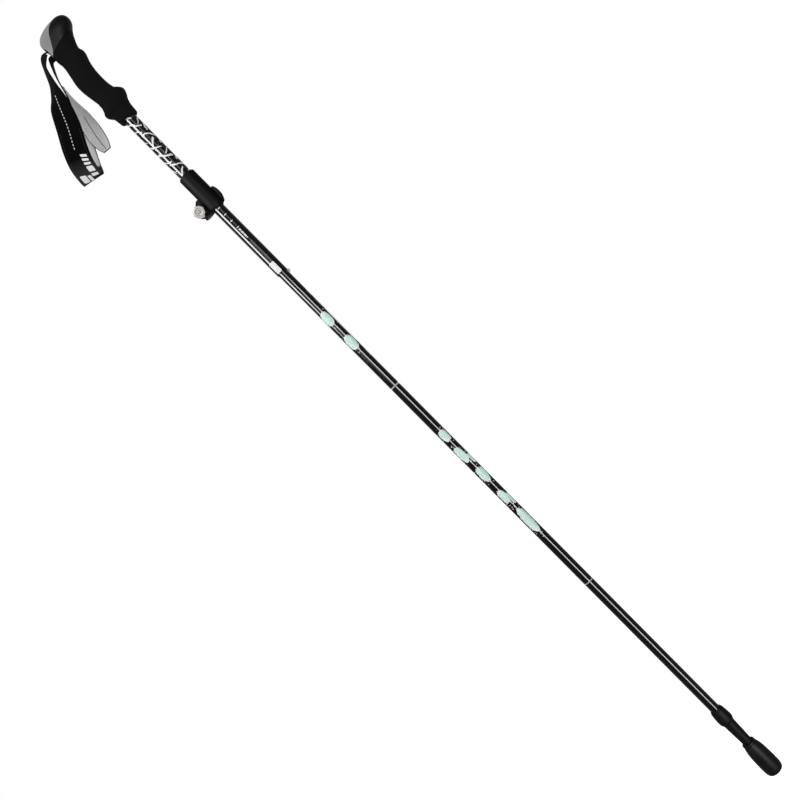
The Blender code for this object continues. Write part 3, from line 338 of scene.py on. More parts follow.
# The lining is narrower than the webbing and a little crowned; a small gap parts each from the route
LINING_INSET = 0.0007
LINING_PUFF = 0.0003
LAYER_GAP = 0.00015
STITCH_RISE = 0.00012
STRAND_SPREAD = 0.0050
PIN_X = -0.0044
PIN_RADIUS = 0.0015
PIN_GAP = 0.0003
LOWER_STRAND = -0.00575
ROOT_WIDTH = 0.0162
# Routes from the slot's mouth: along X, along Y, up Z, width, then the direction across
BAND_ROUTE = (
    (-0.0004, 0.0000, 0.0034, ROOT_WIDTH, 0.14, -0.90, -0.40),
    (-0.0026, 0.0000, 0.0040, ROOT_WIDTH, 0.28, -0.80, -0.53),
    (-0.0051, -0.0001, 0.0033, ROOT_WIDTH, 0.50, -0.72, -0.50),
    (-0.0087, -0.0005, -0.0004, ROOT_WIDTH, 0.50, -0.77, -0.40),
    (-0.0152, -0.0020, -0.0107, 0.0170, 0.41, -0.90, -0.08),
    (-0.0202, -0.0040, -0.0249, 0.0190, 0.48, -0.86, -0.16),
    (-0.0256, -0.0066, -0.0380, 0.0225, 0.66, -0.72, -0.29),
    (-0.0327, -0.0100, -0.0547, 0.0264, 0.85, -0.30, -0.42),
    (-0.0421, -0.0126, -0.0779, 0.0282, 0.88, -0.04, -0.47),
    (-0.0537, -0.0130, -0.1002, 0.0286, 0.89, 0.00, -0.45),
    (-0.0607, -0.0110, -0.1165, 0.0280, 0.93, 0.02, -0.34),
    (-0.0636, -0.0062, -0.1290, 0.0270, 0.97, 0.03, -0.22),
    (-0.0640, 0.0005, -0.1336, 0.0270, 0.98, 0.03, -0.17),
    (-0.0625, 0.0072, -0.1280, 0.0270, 0.96, 0.02, -0.25),
    (-0.0580, 0.0112, -0.1155, 0.0270, 0.92, 0.00, -0.38),
    (-0.0510, 0.0122, -0.1010, 0.0270, 0.90, 0.00, -0.43),
    (-0.0430, 0.0121, -0.0875, 0.0270, 0.90, 0.00, -0.43),
    (-0.0368, 0.0120, -0.0775, 0.0270, 0.90, 0.00, -0.43))
TONGUE_ROUTE = (
    (-0.0004, 0.0000, LOWER_STRAND, ROOT_WIDTH, 0.00, -1.00, 0.00),
    (-0.0018, 0.0000, LOWER_STRAND, ROOT_WIDTH, 0.00, -1.00, 0.00),
    (-0.0038, 0.0001, -0.0064, ROOT_WIDTH, 0.02, -1.00, 0.00),
    (-0.0065, 0.0005, -0.0108, ROOT_WIDTH, 0.06, -1.00, 0.00),
    (-0.0122, 0.0020, -0.0232, 0.0165, 0.12, -0.99, 0.00),
    (-0.0157, 0.0036, -0.0353, 0.0170, 0.08, -1.00, 0.00),
    (-0.0181, 0.0055, -0.0491, 0.0185, -0.10, -0.99, 0.03),
    (-0.0203, 0.0068, -0.0608, 0.0200, -0.42, -0.90, 0.09),
    (-0.0228, 0.0078, -0.0734, 0.0200, -0.78, -0.60, 0.17),
    (-0.0255, 0.0083, -0.0870, 0.0200, -0.95, -0.20, 0.22),
    (-0.0280, 0.0084, -0.1000, 0.0200, -0.97, 0.00, 0.22),
    (-0.0293, 0.0084, -0.1105, 0.0165, -0.97, 0.00, 0.22),
    (-0.0300, 0.0084, -0.1185, 0.0100, -0.97, 0.00, 0.22))
# Steps from one row of a route to the next, and the rows where the band folds and the linings start
STEPS = 8
FOLD_ROW = 12
BAND_LINED_FROM = 6
TONGUE_LINED_FROM = 5
PATCH_OVER_FOLD = (-0.004, 0.017)
# Stitches: spacing, length and thickness, then the rows' distance to the side, lowest and highest point
TONGUE_STITCH = (0.0024, 0.0026, 0.0010)
EDGE_STITCH = (0.0030, 0.0022, 0.0005)
LIGHT_ROW = (-0.0005, 1.0500, 1.1115)
TONGUE_ROW = (0.0, 1.0350, 1.0800)
EDGE_ROWS = 0.0270 / 2 - 0.0022
FALLING_SEAM = (1.0260, 1.0700)
RISING_SEAM = (1.0300, 1.0730)

# The scale and its numbers, the button's hole, the lever's way and the floor
COLLAR_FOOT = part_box("lock_collar")[0].z
MARK_HEIGHT = COLLAR_FOOT - 0.0021
SCALE_LOW = COLLAR_FOOT - 0.034
SCALE_HIGH = COLLAR_FOOT + 0.090
FIRST_READING = 118
READINGS = range(-8, 4)
NUMBER_SIZE = 0.0034
NUMBER_SHIFT = 0.0002
INK_THICKNESS = 0.00003
BUTTON_HOLE = 0.00235
LEVER_OPENS = math.radians(135)
FLOOR_HEIGHT = -0.19

# Prints, in millimetres: strokes as start round and up, end round and up, and width; ovals and bars as middle
# and half sizes, round and up the tube or across and up the webbing from its fold
WEBBING_PRINT = (((6.2, 33.0), (3.4, 1.5)), ((6.2, 28.0), (3.4, 1.5)), ((6.2, 23.0), (3.4, 1.5)),
                 ((6.2, 16.0), (3.4, 3.4)), ((6.2, 8.4), (3.4, 2.0)), ((-6.6, 5.2), (3.2, 4.6)),
                 ((-0.4, 4.6), (1.7, 4.2)))
STROKE_PERIOD = 47.0
STROKE_DRIFT = 7.0
HAIRLINE_SIDES = (6.2, 6.9)
HAIRLINE_HEIGHTS = (640.0, 765.0)
# How far the print on a tube's back is moved up
BACK_SLIP = {"upper_tube": 9.0, "folding_tube_1": -21.0, "folding_tube_2": -13.0}
STROKES = ((-11.0, 45.0, 5.0, 34.0, 1.9), (9.0, 46.0, 3.0, 39.0, 1.2), (11.0, 36.0, 6.0, 27.0, 1.5),
           (-9.0, 34.0, -2.0, 27.0, 1.3), (-4.0, 25.0, 9.0, 17.0, 1.8), (-11.0, 24.0, -7.0, 15.0, 1.2),
           (4.0, 15.0, -4.0, 8.0, 1.6), (11.0, 13.0, 7.0, 5.0, 1.2), (-10.0, 9.0, 2.0, 1.0, 1.8))
TOP_PATCHES = (((-1.2, 719.4), (5.6, 9.4)), ((-0.4, 681.5), (6.0, 9.6)), ((7.6, 706.0), (1.4, 24.0)))
MIDDLE_PATCHES = (((0.6, 533.0), (5.4, 7.5)), ((-1.6, 504.0), (5.0, 10.5)), ((5.4, 494.0), (2.4, 7.0)),
                  ((1.0, 472.0), (5.6, 10.0)), ((-1.0, 438.0), (4.6, 9.0)), ((4.6, 431.0), (2.6, 8.0)),
                  ((0.4, 400.0), (5.4, 17.0)))
# Powers of their outlines: 2 is an ellipse, and more is squarer
OVAL_POWER = 2.4
BLOCK_POWER = 8.0


# Settings that a user would change

def colour(name, description, value):
    """A colour setting from an sRGB hex value."""
    return bpy.props.FloatVectorProperty(name=name, description=description, subtype="COLOR", size=3,
                                         min=0.0, max=1.0, default=linear(value)[:3])


def length(name, description, value):
    """A length setting in metres."""
    return bpy.props.FloatProperty(name=name, description=description, unit="LENGTH", min=0.0,
                                   default=value, precision=5)


def watts(name, description, value):
    """A lamp's power setting in watts."""
    return bpy.props.FloatProperty(name=name, description=description, unit="POWER", min=0.0, default=value)


class GripSettings(bpy.types.PropertyGroup):
    """Colours and pores of the grip."""
    foam: colour("Foam", "Colour of the moulded foam", "141414")
    core: colour("Head core", "Colour of the head's core", "060606")
    cap: colour("Head cap", "Colour of the soft cap on the head", "8C8C8C")
    pore: length("Pore size", "Width of a pore in the foam", 0.0008)


class StrapSettings(bpy.types.PropertyGroup):
    """Colours and stitches of the wrist strap."""
    webbing: colour("Webbing", "Colour of the woven band", "060606")
    lining: colour("Lining", "Colour of the knitted lining", "F0F0F0")
    thread: colour("Thread", "Colour of the visible stitches", "FAFAFA")
    reflective: colour("Reflective bars", "Colour of the bars near the fold", "FCFCFC")
    stitch_spacing: length("Stitch spacing", "Distance from stitch to stitch", 0.0040)
    stitch_length: length("Stitch length", "Length of one stitch", 0.0031)
    thread_thickness: length("Thread thickness", "Thickness of the sewing thread", 0.0010)


class TubeSettings(bpy.types.PropertyGroup):
    """Lacquer and prints of the tubes."""
    lacquer: colour("Lacquer", "Colour of the gloss lacquer", "030303")
    white: colour("White ink", "Colour of the strokes, the scale and the block", "F2F2F2")
    mint: colour("Mint ink", "Colour of the patches on the folding tubes", "D2F6EA")
    numbers: colour("Number ink", "Colour of the scale's numbers", "505050")
    mark_spacing: length("Mark spacing", "Distance from mark to mark on the scale", 0.010)


class FittingSettings(bpy.types.PropertyGroup):
    """Colours of the lock, the metal parts and the tip."""
    nylon: colour("Nylon", "Colour of the lock, the tip sleeve and the basket collar", "090909")
    rubber: colour("Rubber", "Colour of the boot", "090909")
    aluminium: colour("Aluminium", "Colour of the nut and the ferrule rings", "B4B4B4")
    steel: colour("Steel", "Colour of the snap button and the pins", "A8A8A8")


class StageSettings(bpy.types.PropertyGroup):
    """Floor and lamps."""
    floor: colour("Floor", "Colour of the studio floor", "F4F4F4")
    soft_light: watts("Soft light", "Power of the large soft lamp", 26.0)
    strip_light: watts("Strip light", "Power of a square metre of strip lamp", 420.0)


SETTINGS = (("pole_grip", GripSettings), ("pole_strap", StrapSettings), ("pole_tubes", TubeSettings),
            ("pole_fittings", FittingSettings), ("pole_stage", StageSettings))


def chosen(group, name):
    """A colour chosen in a settings group, with full opacity."""
    return (*getattr(getattr(bpy.context.scene, group), name), 1.0)


# Materials

def closed_cell_foam():
    """EVA foam, moulded then skinned by the mould: dead matt, with shallow pores and a faint mottle."""
    look, tree, shader, place = material("eva_foam_moulded")
    pore, base = bpy.context.scene.pole_grip.pore, chosen("pole_grip", "foam")
    mottle = add(tree, NOISE, {"Vector": place, "Scale": 90.0, "Detail": 3.0})
    pores = add(tree, CELLS, {"Vector": place, "Scale": 1.0 / pore}, "Distance")
    grain = add(tree, NOISE, {"Vector": place, "Scale": 2.5 / pore, "Detail": 2.0})
    height = worked(tree, pores, ("ADD", grain))
    feed(tree, shader, {
        "Base Color": coated(tree, base, (mottle, shade(base, 1.35))),
        "Roughness": uneven(tree, mottle, 0.82, 0.95),
        "Normal": add(tree, BUMP, {"Height": height, "Strength": 0.35, "Distance": 0.0002}),
        "Specular IOR Level": 0.03})
    return look


def moulded_plastic(name, tone, roughness, specular=0.02, grain=0.0004, strength=0.12):
    """Injection-moulded plastic: an even colour, a spark-eroded grain and slightly shinier rubbed spots."""
    look, tree, shader, place = material(name)
    broad = add(tree, NOISE, {"Vector": place, "Scale": 55.0, "Detail": 3.0})
    fine = add(tree, NOISE, {"Vector": place, "Scale": 1.0 / grain, "Detail": 2.0})
    feed(tree, shader, {
        "Base Color": coated(tree, tone, (broad, shade(tone, 1.22))),
        "Roughness": uneven(tree, broad, roughness - 0.06, roughness + 0.06),
        "Normal": add(tree, BUMP, {"Height": fine, "Strength": strength, "Distance": 0.0001}),
        "Specular IOR Level": specular})
    return look


def machined_metal(name, tone, roughness, spacing=0.0005):
    """Turned metal, then blasted or anodised: satin, with fine tool rings and a little smudging."""
    look, tree, shader, place = material(name)
    smudge = add(tree, NOISE, {"Vector": place, "Scale": 220.0, "Detail": 4.0})
    rings = add(tree, WAVE, {"Vector": place, "Scale": 0.3 / spacing, "Distortion": 0.6}, bands_direction="Z")
    feed(tree, shader, {
        "Base Color": coated(tree, shade(tone, 0.82), (smudge, tone)),
        "Roughness": uneven(tree, smudge, roughness - 0.07, roughness + 0.07),
        "Normal": add(tree, BUMP, {"Height": rings, "Strength": 0.15, "Distance": 0.00004}),
        "Metallic": 1.0})
    return look


def vulcanised_rubber():
    """Moulded rubber: deep black, soft dull sheen, a fine dusty grain."""
    return moulded_plastic("rubber_moulded", chosen("pole_fittings", "rubber"), roughness=0.5,
                           specular=0.025, grain=0.0006, strength=0.2)


def braided_cord():
    """Elastic cord in a braided polyester cover: dull, with small slanting ribs."""
    look, tree, shader, place = material("elastic_cord_braided")
    ribs = add(tree, WAVE, {"Vector": place, "Scale": 400.0, "Distortion": 1.0}, bands_direction="DIAGONAL")
    feed(tree, shader, {
        "Base Color": coated(tree, linear("161616"), (ribs, linear("3A3A3A"))),
        "Normal": add(tree, BUMP, {"Height": ribs, "Strength": 0.5, "Distance": 0.0002}),
        "Roughness": 0.85})
    return look


def weave(tree, thread):
    """The piece's own map, whose units are metres, taken apart, and the height of a plain weave on it."""
    own_map = add(tree, "ShaderNodeUVMap", uv_map="length_and_width")
    split = add(tree, "ShaderNodeSeparateXYZ", {"Vector": own_map}).node.outputs
    waves = [worked(tree, split[axis], ("MULTIPLY", math.pi / (thread * share)), ("SINE",))
             for axis, share in ((0, 1.0), (1, 0.8))]
    crossed = worked(tree, waves[0], ("MULTIPLY", waves[1]))
    return split, add(tree, RANGE, {"Value": crossed, "From Min": -1.0, "From Max": 1.0})


def woven_webbing(fold):
    """Polyester webbing, woven flat: black yarn with a dull sheen, and a painted sheen that makes it greyer
    just past the bottom fold, where the band curves towards the light; a real yarn is 0.5 mm wide, and it is
    drawn 1 mm wide so that it shows. Light bars and blocks are printed near the fold, whose distance along
    the webbing is given."""
    look, tree, shader, _ = material("polyester_webbing_woven")
    split, height = weave(tree, 0.0010)
    along = worked(tree, split[0], ("SUBTRACT", fold), ("MULTIPLY", 1000.0))
    across = worked(tree, split[1], ("MULTIPLY", 1000.0))
    # rising and falling bound a painted sheen: the webbing is painted lighter grey from the fold to 30 mm
    # along it, fullest 4 to 12 mm from it
    rising, falling = [add(tree, RANGE, {"Value": along, "From Min": start, "From Max": end})
                       for start, end in ((0.0, 4.0), (30.0, 12.0))]
    slanted = worked(tree, across, ("MULTIPLY_ADD", 0.35, along))
    bars = [below(tree, patch(tree, across, slanted, middle, half, BLOCK_POWER), 0.95, 0.2)
            for middle, half in WEBBING_PRINT]
    printed = most(tree, bars)
    tone = chosen("pole_strap", "webbing")
    feed(tree, shader, {
        "Base Color": coated(tree, tone, (height, shade(tone, 1.7)),
                             (worked(tree, falling, ("MULTIPLY", rising)), linear("343434")),
                             (printed, chosen("pole_strap", "reflective"))),
        "Roughness": add(tree, RANGE, {"Value": printed, "To Min": 0.8, "To Max": 0.5}),
        "Normal": add(tree, BUMP, {"Height": height, "Strength": 0.5, "Distance": 0.0002}),
        "Specular IOR Level": 0.03})
    return look


def knitted_lining(name, black_from=1.0, black_to=1.0):
    """Brushed polyester knit over thin foam: soft light grey, tiny ribs, a light nap at the edges. A black
    patch covers it between two distances along its map; by default both lie past its end."""
    look, tree, shader, place = material(name)
    split, height = weave(tree, 0.0012)
    cloudy = add(tree, NOISE, {"Vector": place, "Scale": 160.0, "Detail": 4.0})
    mixed = worked(tree, height, ("MULTIPLY_ADD", 0.35, worked(tree, cloudy, ("MULTIPLY", 0.65))))
    covered = within(tree, split[0], black_from, black_to, 0.0015)
    tone = chosen("pole_strap", "lining")
    feed(tree, shader, {
        "Base Color": coated(tree, shade(tone, 0.8), (mixed, tone), (covered, linear("0E0E0E"))),
        "Normal": add(tree, BUMP, {"Height": height, "Strength": 0.4, "Distance": 0.0002}),
        "Roughness": 0.9, "Sheen Weight": 0.15})
    return look


def sewing_thread(name, tone):
    """Twisted polyester thread: small slanting twists, a slight gleam."""
    look, tree, shader, place = material(name)
    twist = add(tree, WAVE, {"Vector": place, "Scale": 900.0}, bands_direction="DIAGONAL")
    feed(tree, shader, {"Base Color": coated(tree, shade(tone, 0.7), (twist, tone)), "Roughness": 0.6})
    return look


def printed_ink():
    """Pad-printed ink: thin, satin, a little uneven where the pad lifted."""
    look, tree, shader, place = material("pad_printed_ink_grey")
    blotched = add(tree, NOISE, {"Vector": place, "Scale": 900.0, "Detail": 2.0})
    tone = chosen("pole_tubes", "numbers")
    feed(tree, shader, {"Base Color": coated(tree, shade(tone, 0.6), (blotched, tone)),
                        "Roughness": 0.4, "Specular IOR Level": 0.1})
    return look


def painted_floor():
    """Painted studio floor: even, pale and matt; its own light makes it white where no shadow falls."""
    look, tree, shader, place = material("studio_floor_painted")
    mottle = add(tree, NOISE, {"Vector": place, "Scale": 3.0, "Detail": 2.0})
    feed(tree, shader, {
        "Base Color": coated(tree, chosen("pole_stage", "floor"), (mottle, linear("FAFAFA"))),
        "Roughness": 0.9, "Specular IOR Level": 0.0, "Emission Color": WHITE,
        "Emission Strength": worked(tree, looked_at(tree), ("MULTIPLY", 0.6))})
    return look


def looked_at(tree):
    """A mask that is 1 where the camera looks, also by way of gloss or glass."""
    rays = add(tree, "ShaderNodeLightPath").node.outputs
    return most(tree, [rays[f"Is {kind} Ray"] for kind in ("Glossy", "Transmission", "Camera")])


# Prints. Distances round the tube start from the side that faces -Y, and all are in millimetres

def below(tree, value, level, soft):
    """A mask that is 1 under a level, with a soft edge."""
    return add(tree, RANGE, {"Value": value, "From Min": level, "From Max": level + soft,
                             "To Min": 1.0, "To Max": 0.0})


def within(tree, value, low, high, soft=0.15):
    """A mask that is 1 between two values, with soft ends."""
    rise = add(tree, RANGE, {"Value": value, "From Min": low - soft, "From Max": low + soft})
    return worked(tree, rise, ("MULTIPLY", below(tree, value, high - soft, 2 * soft)))


def patch(tree, around, up, middle, half, power):
    """How far a place is from the middle of an oval or, with a high power, of a block: 1 on its edge."""
    shares = [worked(tree, value, ("SUBTRACT", centre), ("ABSOLUTE",), ("DIVIDE", size), ("POWER", power))
              for value, centre, size in zip((around, up), middle, half)]
    return worked(tree, shares[0], ("ADD", shares[1]))


def lacquered_tube(node, paint=None):
    """Aluminium tube under gloss lacquer: near black, mirror-like, with a very faint orange peel.
    The paint function gives the colour of its print and a mask of where its matt ink is."""
    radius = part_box(node)[1].x
    look, tree, shader, place = material("lacquer_" + node)
    lacquer = chosen("pole_tubes", "lacquer")
    wipe = add(tree, NOISE, {"Vector": place, "Scale": 40.0, "Detail": 2.0})
    rough = uneven(tree, wipe, 0.08, 0.13)
    if paint:
        split = add(tree, "ShaderNodeSeparateXYZ", {"Vector": place}).node.outputs
        facing = worked(tree, split[1], ("MULTIPLY", -1.0))
        around = worked(tree, split[0], ("ARCTAN2", facing), ("MULTIPLY", radius * 1000))
        up = worked(tree, split[2], ("MULTIPLY", 1000.0))
        colour, ink = paint(tree, place, around, up, lacquer)
        rough = worked(tree, ink, ("MULTIPLY_ADD", 0.5, rough))
    else:
        dust = add(tree, NOISE, {"Vector": place, "Scale": 300.0, "Detail": 3.0})
        colour = coated(tree, lacquer, (dust, shade(lacquer, 1.5)))
    peel = add(tree, NOISE, {"Vector": place, "Scale": 350.0, "Detail": 1.0})
    feed(tree, shader, {
        "Base Color": colour, "Roughness": rough, "Specular IOR Level": 0.08,
        "Normal": add(tree, BUMP, {"Height": peel, "Strength": 0.01, "Distance": 0.0001})})
    return look


def repeated(tree, around, up, node):
    """The same print on a tube's front and back; the back's is slipped up or down."""
    quarter = math.pi / 2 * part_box(node)[1].x * 1000
    folded = worked(tree, around, ("ADD", quarter), ("FLOORED_MODULO", 2 * quarter), ("SUBTRACT", quarter))
    raised = worked(tree, around, ("ABSOLUTE",), ("GREATER_THAN", quarter),
                    ("MULTIPLY_ADD", BACK_SLIP[node], up))
    return folded, raised


def upper_tube_print(tree, place, around, up, lacquer):
    """Hand-painted look: loose white strokes that cross the tube two ways, and a few grey specks between."""
    folded, raised = repeated(tree, around, up, "upper_tube")
    raised = worked(tree, raised, ("FLOORED_MODULO", STROKE_PERIOD))
    flat = add(tree, "ShaderNodeCombineXYZ", {"X": folded, "Y": raised})
    drift = add(tree, NOISE, {"Vector": place, "Scale": 110.0, "Detail": 1.0}, 1)
    drift = add(tree, VECTOR, (drift, (0.5, 0.5, 0.5)), operation="SUBTRACT")
    spot = add(tree, VECTOR, (drift, (STROKE_DRIFT, STROKE_DRIFT, 0.0), flat), operation="MULTIPLY_ADD")
    strokes = []
    for start_x, start_y, end_x, end_y, width in STROKES:
        way = Vector((end_x - start_x, end_y - start_y, 0.0))
        from_start = add(tree, VECTOR, (spot, (start_x, start_y, 0.0)), operation="SUBTRACT")
        share = add(tree, VECTOR, (from_start, way / way.length_squared), 1, operation="DOT_PRODUCT")
        share = add(tree, RANGE, {"Value": share})
        nearest = add(tree, VECTOR, {0: way, "Scale": share}, operation="SCALE")
        off = add(tree, VECTOR, (from_start, nearest), 1, operation="DISTANCE")
        strokes.append(below(tree, off, width / 2 - 0.1, 0.25))
    ink = most(tree, strokes)
    flecks = add(tree, NOISE, {"Vector": place, "Scale": 600.0, "Detail": 2.0})
    flecks = add(tree, RANGE, {"Value": flecks, "From Min": 0.64, "From Max": 0.72})
    return coated(tree, lacquer, (flecks, linear("8A8A8A")), (ink, chosen("pole_tubes", "white"))), ink


def stripes(tree, around, up, start, period, width, heights, sides, soft=0.15):
    """Stripes across the tube, one every period from a start, between two heights and two sides."""
    striped = worked(tree, up, ("SUBTRACT", start), ("FLOORED_MODULO", period), ("LESS_THAN", width))
    return worked(tree, striped, ("MULTIPLY", within(tree, up, *heights)),
                  ("MULTIPLY", within(tree, around, *sides, soft)))


def adjusting_tube_print(tree, place, around, up, lacquer):
    """The scale's marks, one centimetre apart, a broken white bar and a ribbed grey one below them, and a
    white block above the ring on the side facing -Y only: a painted reflection, the shine of a polished metal
    end collar drawn in white ink."""
    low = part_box("adjusting_tube")[0].z * 1000
    marks = stripes(tree, around, up, start=MARK_HEIGHT * 1000 - 0.45, width=0.9,
                    period=bpy.context.scene.pole_tubes.mark_spacing * 1000,
                    heights=(SCALE_LOW * 1000, SCALE_HIGH * 1000), sides=(-1.5, 1.9), soft=0.1)
    bar = stripes(tree, around, up, start=0.0, period=4.4, width=3.6, heights=(low + 53.5, low + 67.0),
                  sides=(-0.9, 0.9))
    ribs = stripes(tree, around, up, start=0.0, period=1.5, width=0.9, heights=(low + 16.0, low + 49.0),
                   sides=(-1.6, 1.7))
    # Painted reflection: this white block stands for the shine of the tube's polished end collar, on the side
    # facing -Y only
    block = patch(tree, around, up, (-1.9, low + 7.4), (3.7, 7.6), BLOCK_POWER)
    ink = most(tree, (marks, bar, below(tree, block, 0.95, 0.15)))
    return coated(tree, lacquer, (ribs, linear("606060")), (ink, chosen("pole_tubes", "white"))), ink


def mint_patches(tree, place, around, up, lacquer, patches, ragged):
    """Mint ovals with ragged white rims, black gaps with white dots between, and dark dots on the rims."""
    ovals = [patch(tree, around, up, middle, half, OVAL_POWER) for middle, half in patches]
    waver = add(tree, NOISE, {"Vector": place, "Scale": 190.0, "Detail": 3.0})
    waver = add(tree, RANGE, {"Value": waver, "To Min": -ragged, "To Max": ragged})
    nearest = worked(tree, ovals[0], *[("MINIMUM", oval) for oval in ovals[1:]], ("ADD", waver))
    rim, heart, beside = [below(tree, nearest, level, soft)
                          for level, soft in ((1.0, 0.08), (0.72, 0.08), (2.6, 0.3))]
    dots = below(tree, add(tree, CELLS, {"Vector": place, "Scale": 330.0}, "Distance"), 0.21, 0.06)
    cloudy = add(tree, NOISE, {"Vector": place, "Scale": 60.0, "Detail": 1.0})
    mint = chosen("pole_tubes", "mint")
    return coated(tree, lacquer, (worked(tree, beside, ("MULTIPLY", dots)), linear("D8D8D8")),
                  (rim, chosen("pole_tubes", "white")), (worked(tree, rim, ("MULTIPLY", dots)), lacquer),
                  (heart, coated(tree, shade(mint, 0.92), (cloudy, mint)))), rim


def top_folding_print(tree, place, around, up, lacquer):
    """Two mint ovals and a narrow patch beside them, the same again behind, and thin broken hairlines."""
    folded, raised = repeated(tree, around, up, "folding_tube_1")
    printed, ink = mint_patches(tree, place, folded, raised, lacquer, TOP_PATCHES, 0.4)
    breaks = add(tree, NOISE, {"Vector": place, "Scale": 130.0})
    lines = worked(tree, within(tree, folded, *HAIRLINE_SIDES, soft=0.1),
                   ("MULTIPLY", within(tree, up, *HAIRLINE_HEIGHTS)),
                   ("MULTIPLY", below(tree, breaks, 0.5, 0.02)))
    return coated(tree, printed, (lines, linear("C8C8C8"))), ink


def middle_folding_print(tree, place, around, up, lacquer):
    """A row of long mint ovals edged in white, round the tube's lower half."""
    folded, raised = repeated(tree, around, up, "folding_tube_2")
    return mint_patches(tree, place, folded, raised, lacquer, MIDDLE_PATCHES, 0.75)


# Grip

def grip_point(height, turn):
    """A point of the grip's skin at a height above its bottom and a turn about Z from +X."""
    i = min(max(bisect.bisect_right(GRIP_CURVE, height, key=lambda row: row[0]), 1), len(GRIP_CURVE) - 1)
    low, high = GRIP_CURVE[i - 1], GRIP_CURVE[i]
    t = min(max((height - low[0]) / (high[0] - low[0]), 0.0), 1.0)
    rear, front, half_width = [a + (b - a) * t for a, b in zip(low[1:], high[1:])]
    centre, half_length = (front - rear) / 2, (front + rear) / 2
    # The rear turns squarer over the last stretch below the seam, and stays so in the head
    in_head = min(max((height - 0.85 * SEAM_HEIGHT) / (0.15 * SEAM_HEIGHT), 0.0), 1.0)
    at_rear = HAND_ROUNDNESS + (HEAD_ROUNDNESS - HAND_ROUNDNESS) * in_head
    c, s = math.cos(turn), math.sin(turn)
    bend = 2 / (HAND_ROUNDNESS if c > 0 else at_rear)
    return Vector((centre + half_length * math.copysign(abs(c) ** bend, c),
                   half_width * math.copysign(abs(s) ** bend, s), GRIP_BOTTOM + height))


def seam_line(x, rise=0.0):
    """The height of the seam between foam and head at a reach to the front, or of a line along it."""
    return SEAM_Z + SEAM_SLOPE * x + rise


def seam_height(turn):
    """The slanted seam's height above the grip's bottom, at a turn about Z; a dozen rounds settle it."""
    height = SEAM_HEIGHT
    for _ in range(12):
        height = SEAM_HEIGHT + SEAM_SLOPE * grip_point(height, turn).x
    return height


class POLE_OT_grip_foam(bpy.types.Operator):
    """Moulded foam of the grip, open round the tube, with its rims rolled in"""
    bl_idname = "pole.grip_foam"
    bl_label = "Grip foam"

    def execute(self, context):
        rows = 140
        tops = [seam_height(turn) - SEAM_GAP / 2 for turn in TURNS]
        # How each rim rolls in, as the distance from its end and the inset there
        rolled = ((0.0, 0.0009), (0.0002, 0.0004), (0.0006, 0.0001))
        levels = [(0.0, low, inset) for low, inset in rolled]
        levels += [(k / rows, 0.0, 0.0) for k in range(1, rows)]
        levels += [(1.0, -low, inset) for low, inset in reversed(rolled)]
        rings = []
        for share, extra, inset in levels:
            points = [grip_point(share * top + extra, turn) for turn, top in zip(TURNS, tops)]
            rings.append([point - Vector((point.x, point.y, 0)).normalized() * inset for point in points])
        bore = arc(0, 0, TUBE_BORE_IN_GRIP, TURNS)
        rings.append([(x, y, seam_line(x, -SEAM_GAP / 2)) for x, y in bore])
        rings.append([(x, y, GRIP_BOTTOM) for x, y in bore])
        bm = bmesh.new()
        join_rings(bm, rings, wrapped=True)
        piece = finished(bm, "grip_foam_moulded", closed_cell_foam(), 50)
        ride(piece, "handle", "foam", "grip_foam")
        return {"FINISHED"}


def prism(name, outline, low, high):
    """Extrude an outline of (x, z) points along Y, as a cutting tool."""
    bm = bmesh.new()
    join_rings(bm, [[(x, y, z) for x, z in outline] for y in (low, high)], capped=True)
    return finished(bm, name, bpy.data.materials.get("tool") or bpy.data.materials.new("tool"))


def head_shell(name, look):
    """The whole head as one closed skin, from below the seam to its top."""
    heights = [row[0] for row in GRIP_CURVE if row[0] > SEAM_HEIGHT - HEAD_BELOW_SEAM]
    bm = bmesh.new()
    join_rings(bm, [[grip_point(height, turn) for turn in TURNS] for height in heights], capped=True)
    return finished(bm, name, look)


def cap_block(gap):
    """A tool that fills everything behind the curve where the cap meets the head's core."""
    shift = gap / math.sqrt(2)
    curve = [(x - shift, SEAM_Z + CAP_EDGE_ABOVE_SEAM + z + shift) for x, z in smooth(CAP_EDGE, 8)]
    far = GRIP_TOP + AROUND_HEAD
    outline = [*curve, (-AROUND_HEAD, curve[-1][1]), (-AROUND_HEAD, far), (curve[0][0], far)]
    return prism("cap_block", outline, -BESIDE_HEAD, BESIDE_HEAD)


def under_head():
    """A tool that fills everything below the head."""
    low, gap = GRIP_BOTTOM - AROUND_HEAD, SEAM_GAP / 2
    outline = [(-AROUND_HEAD, low), (AROUND_HEAD, low), (AROUND_HEAD, seam_line(AROUND_HEAD, gap)),
               (-AROUND_HEAD, seam_line(-AROUND_HEAD, gap))]
    return prism("under_head", outline, -BESIDE_HEAD, BESIDE_HEAD)


def strap_slot():
    """A tool for the slot at the head's rear, with a sill at its mouth and a round inner top corner."""
    high, deep = SLOT_Z + SLOT_HEIGHT, SLOT_MOUTH_X + SLOT_DEPTH
    mouth, sill = SLOT_MOUTH_X + 0.3 * SLOT_DEPTH, SLOT_MOUTH_X + 0.55 * SLOT_DEPTH
    corner = arc(deep - SLOT_CORNER, high - SLOT_CORNER, SLOT_CORNER,
                 [math.pi / 2 * i / 8 for i in range(9)])
    outline = [(-AROUND_HEAD, seam_line(-AROUND_HEAD)), (mouth, seam_line(mouth, -SEAM_GAP)),
               (sill, seam_line(sill, SLOT_SILL)), (deep, seam_line(deep, SLOT_SILL)), *corner,
               (-AROUND_HEAD, high)]
    return prism("strap_slot", outline, -SLOT_WIDTH / 2, SLOT_WIDTH / 2)


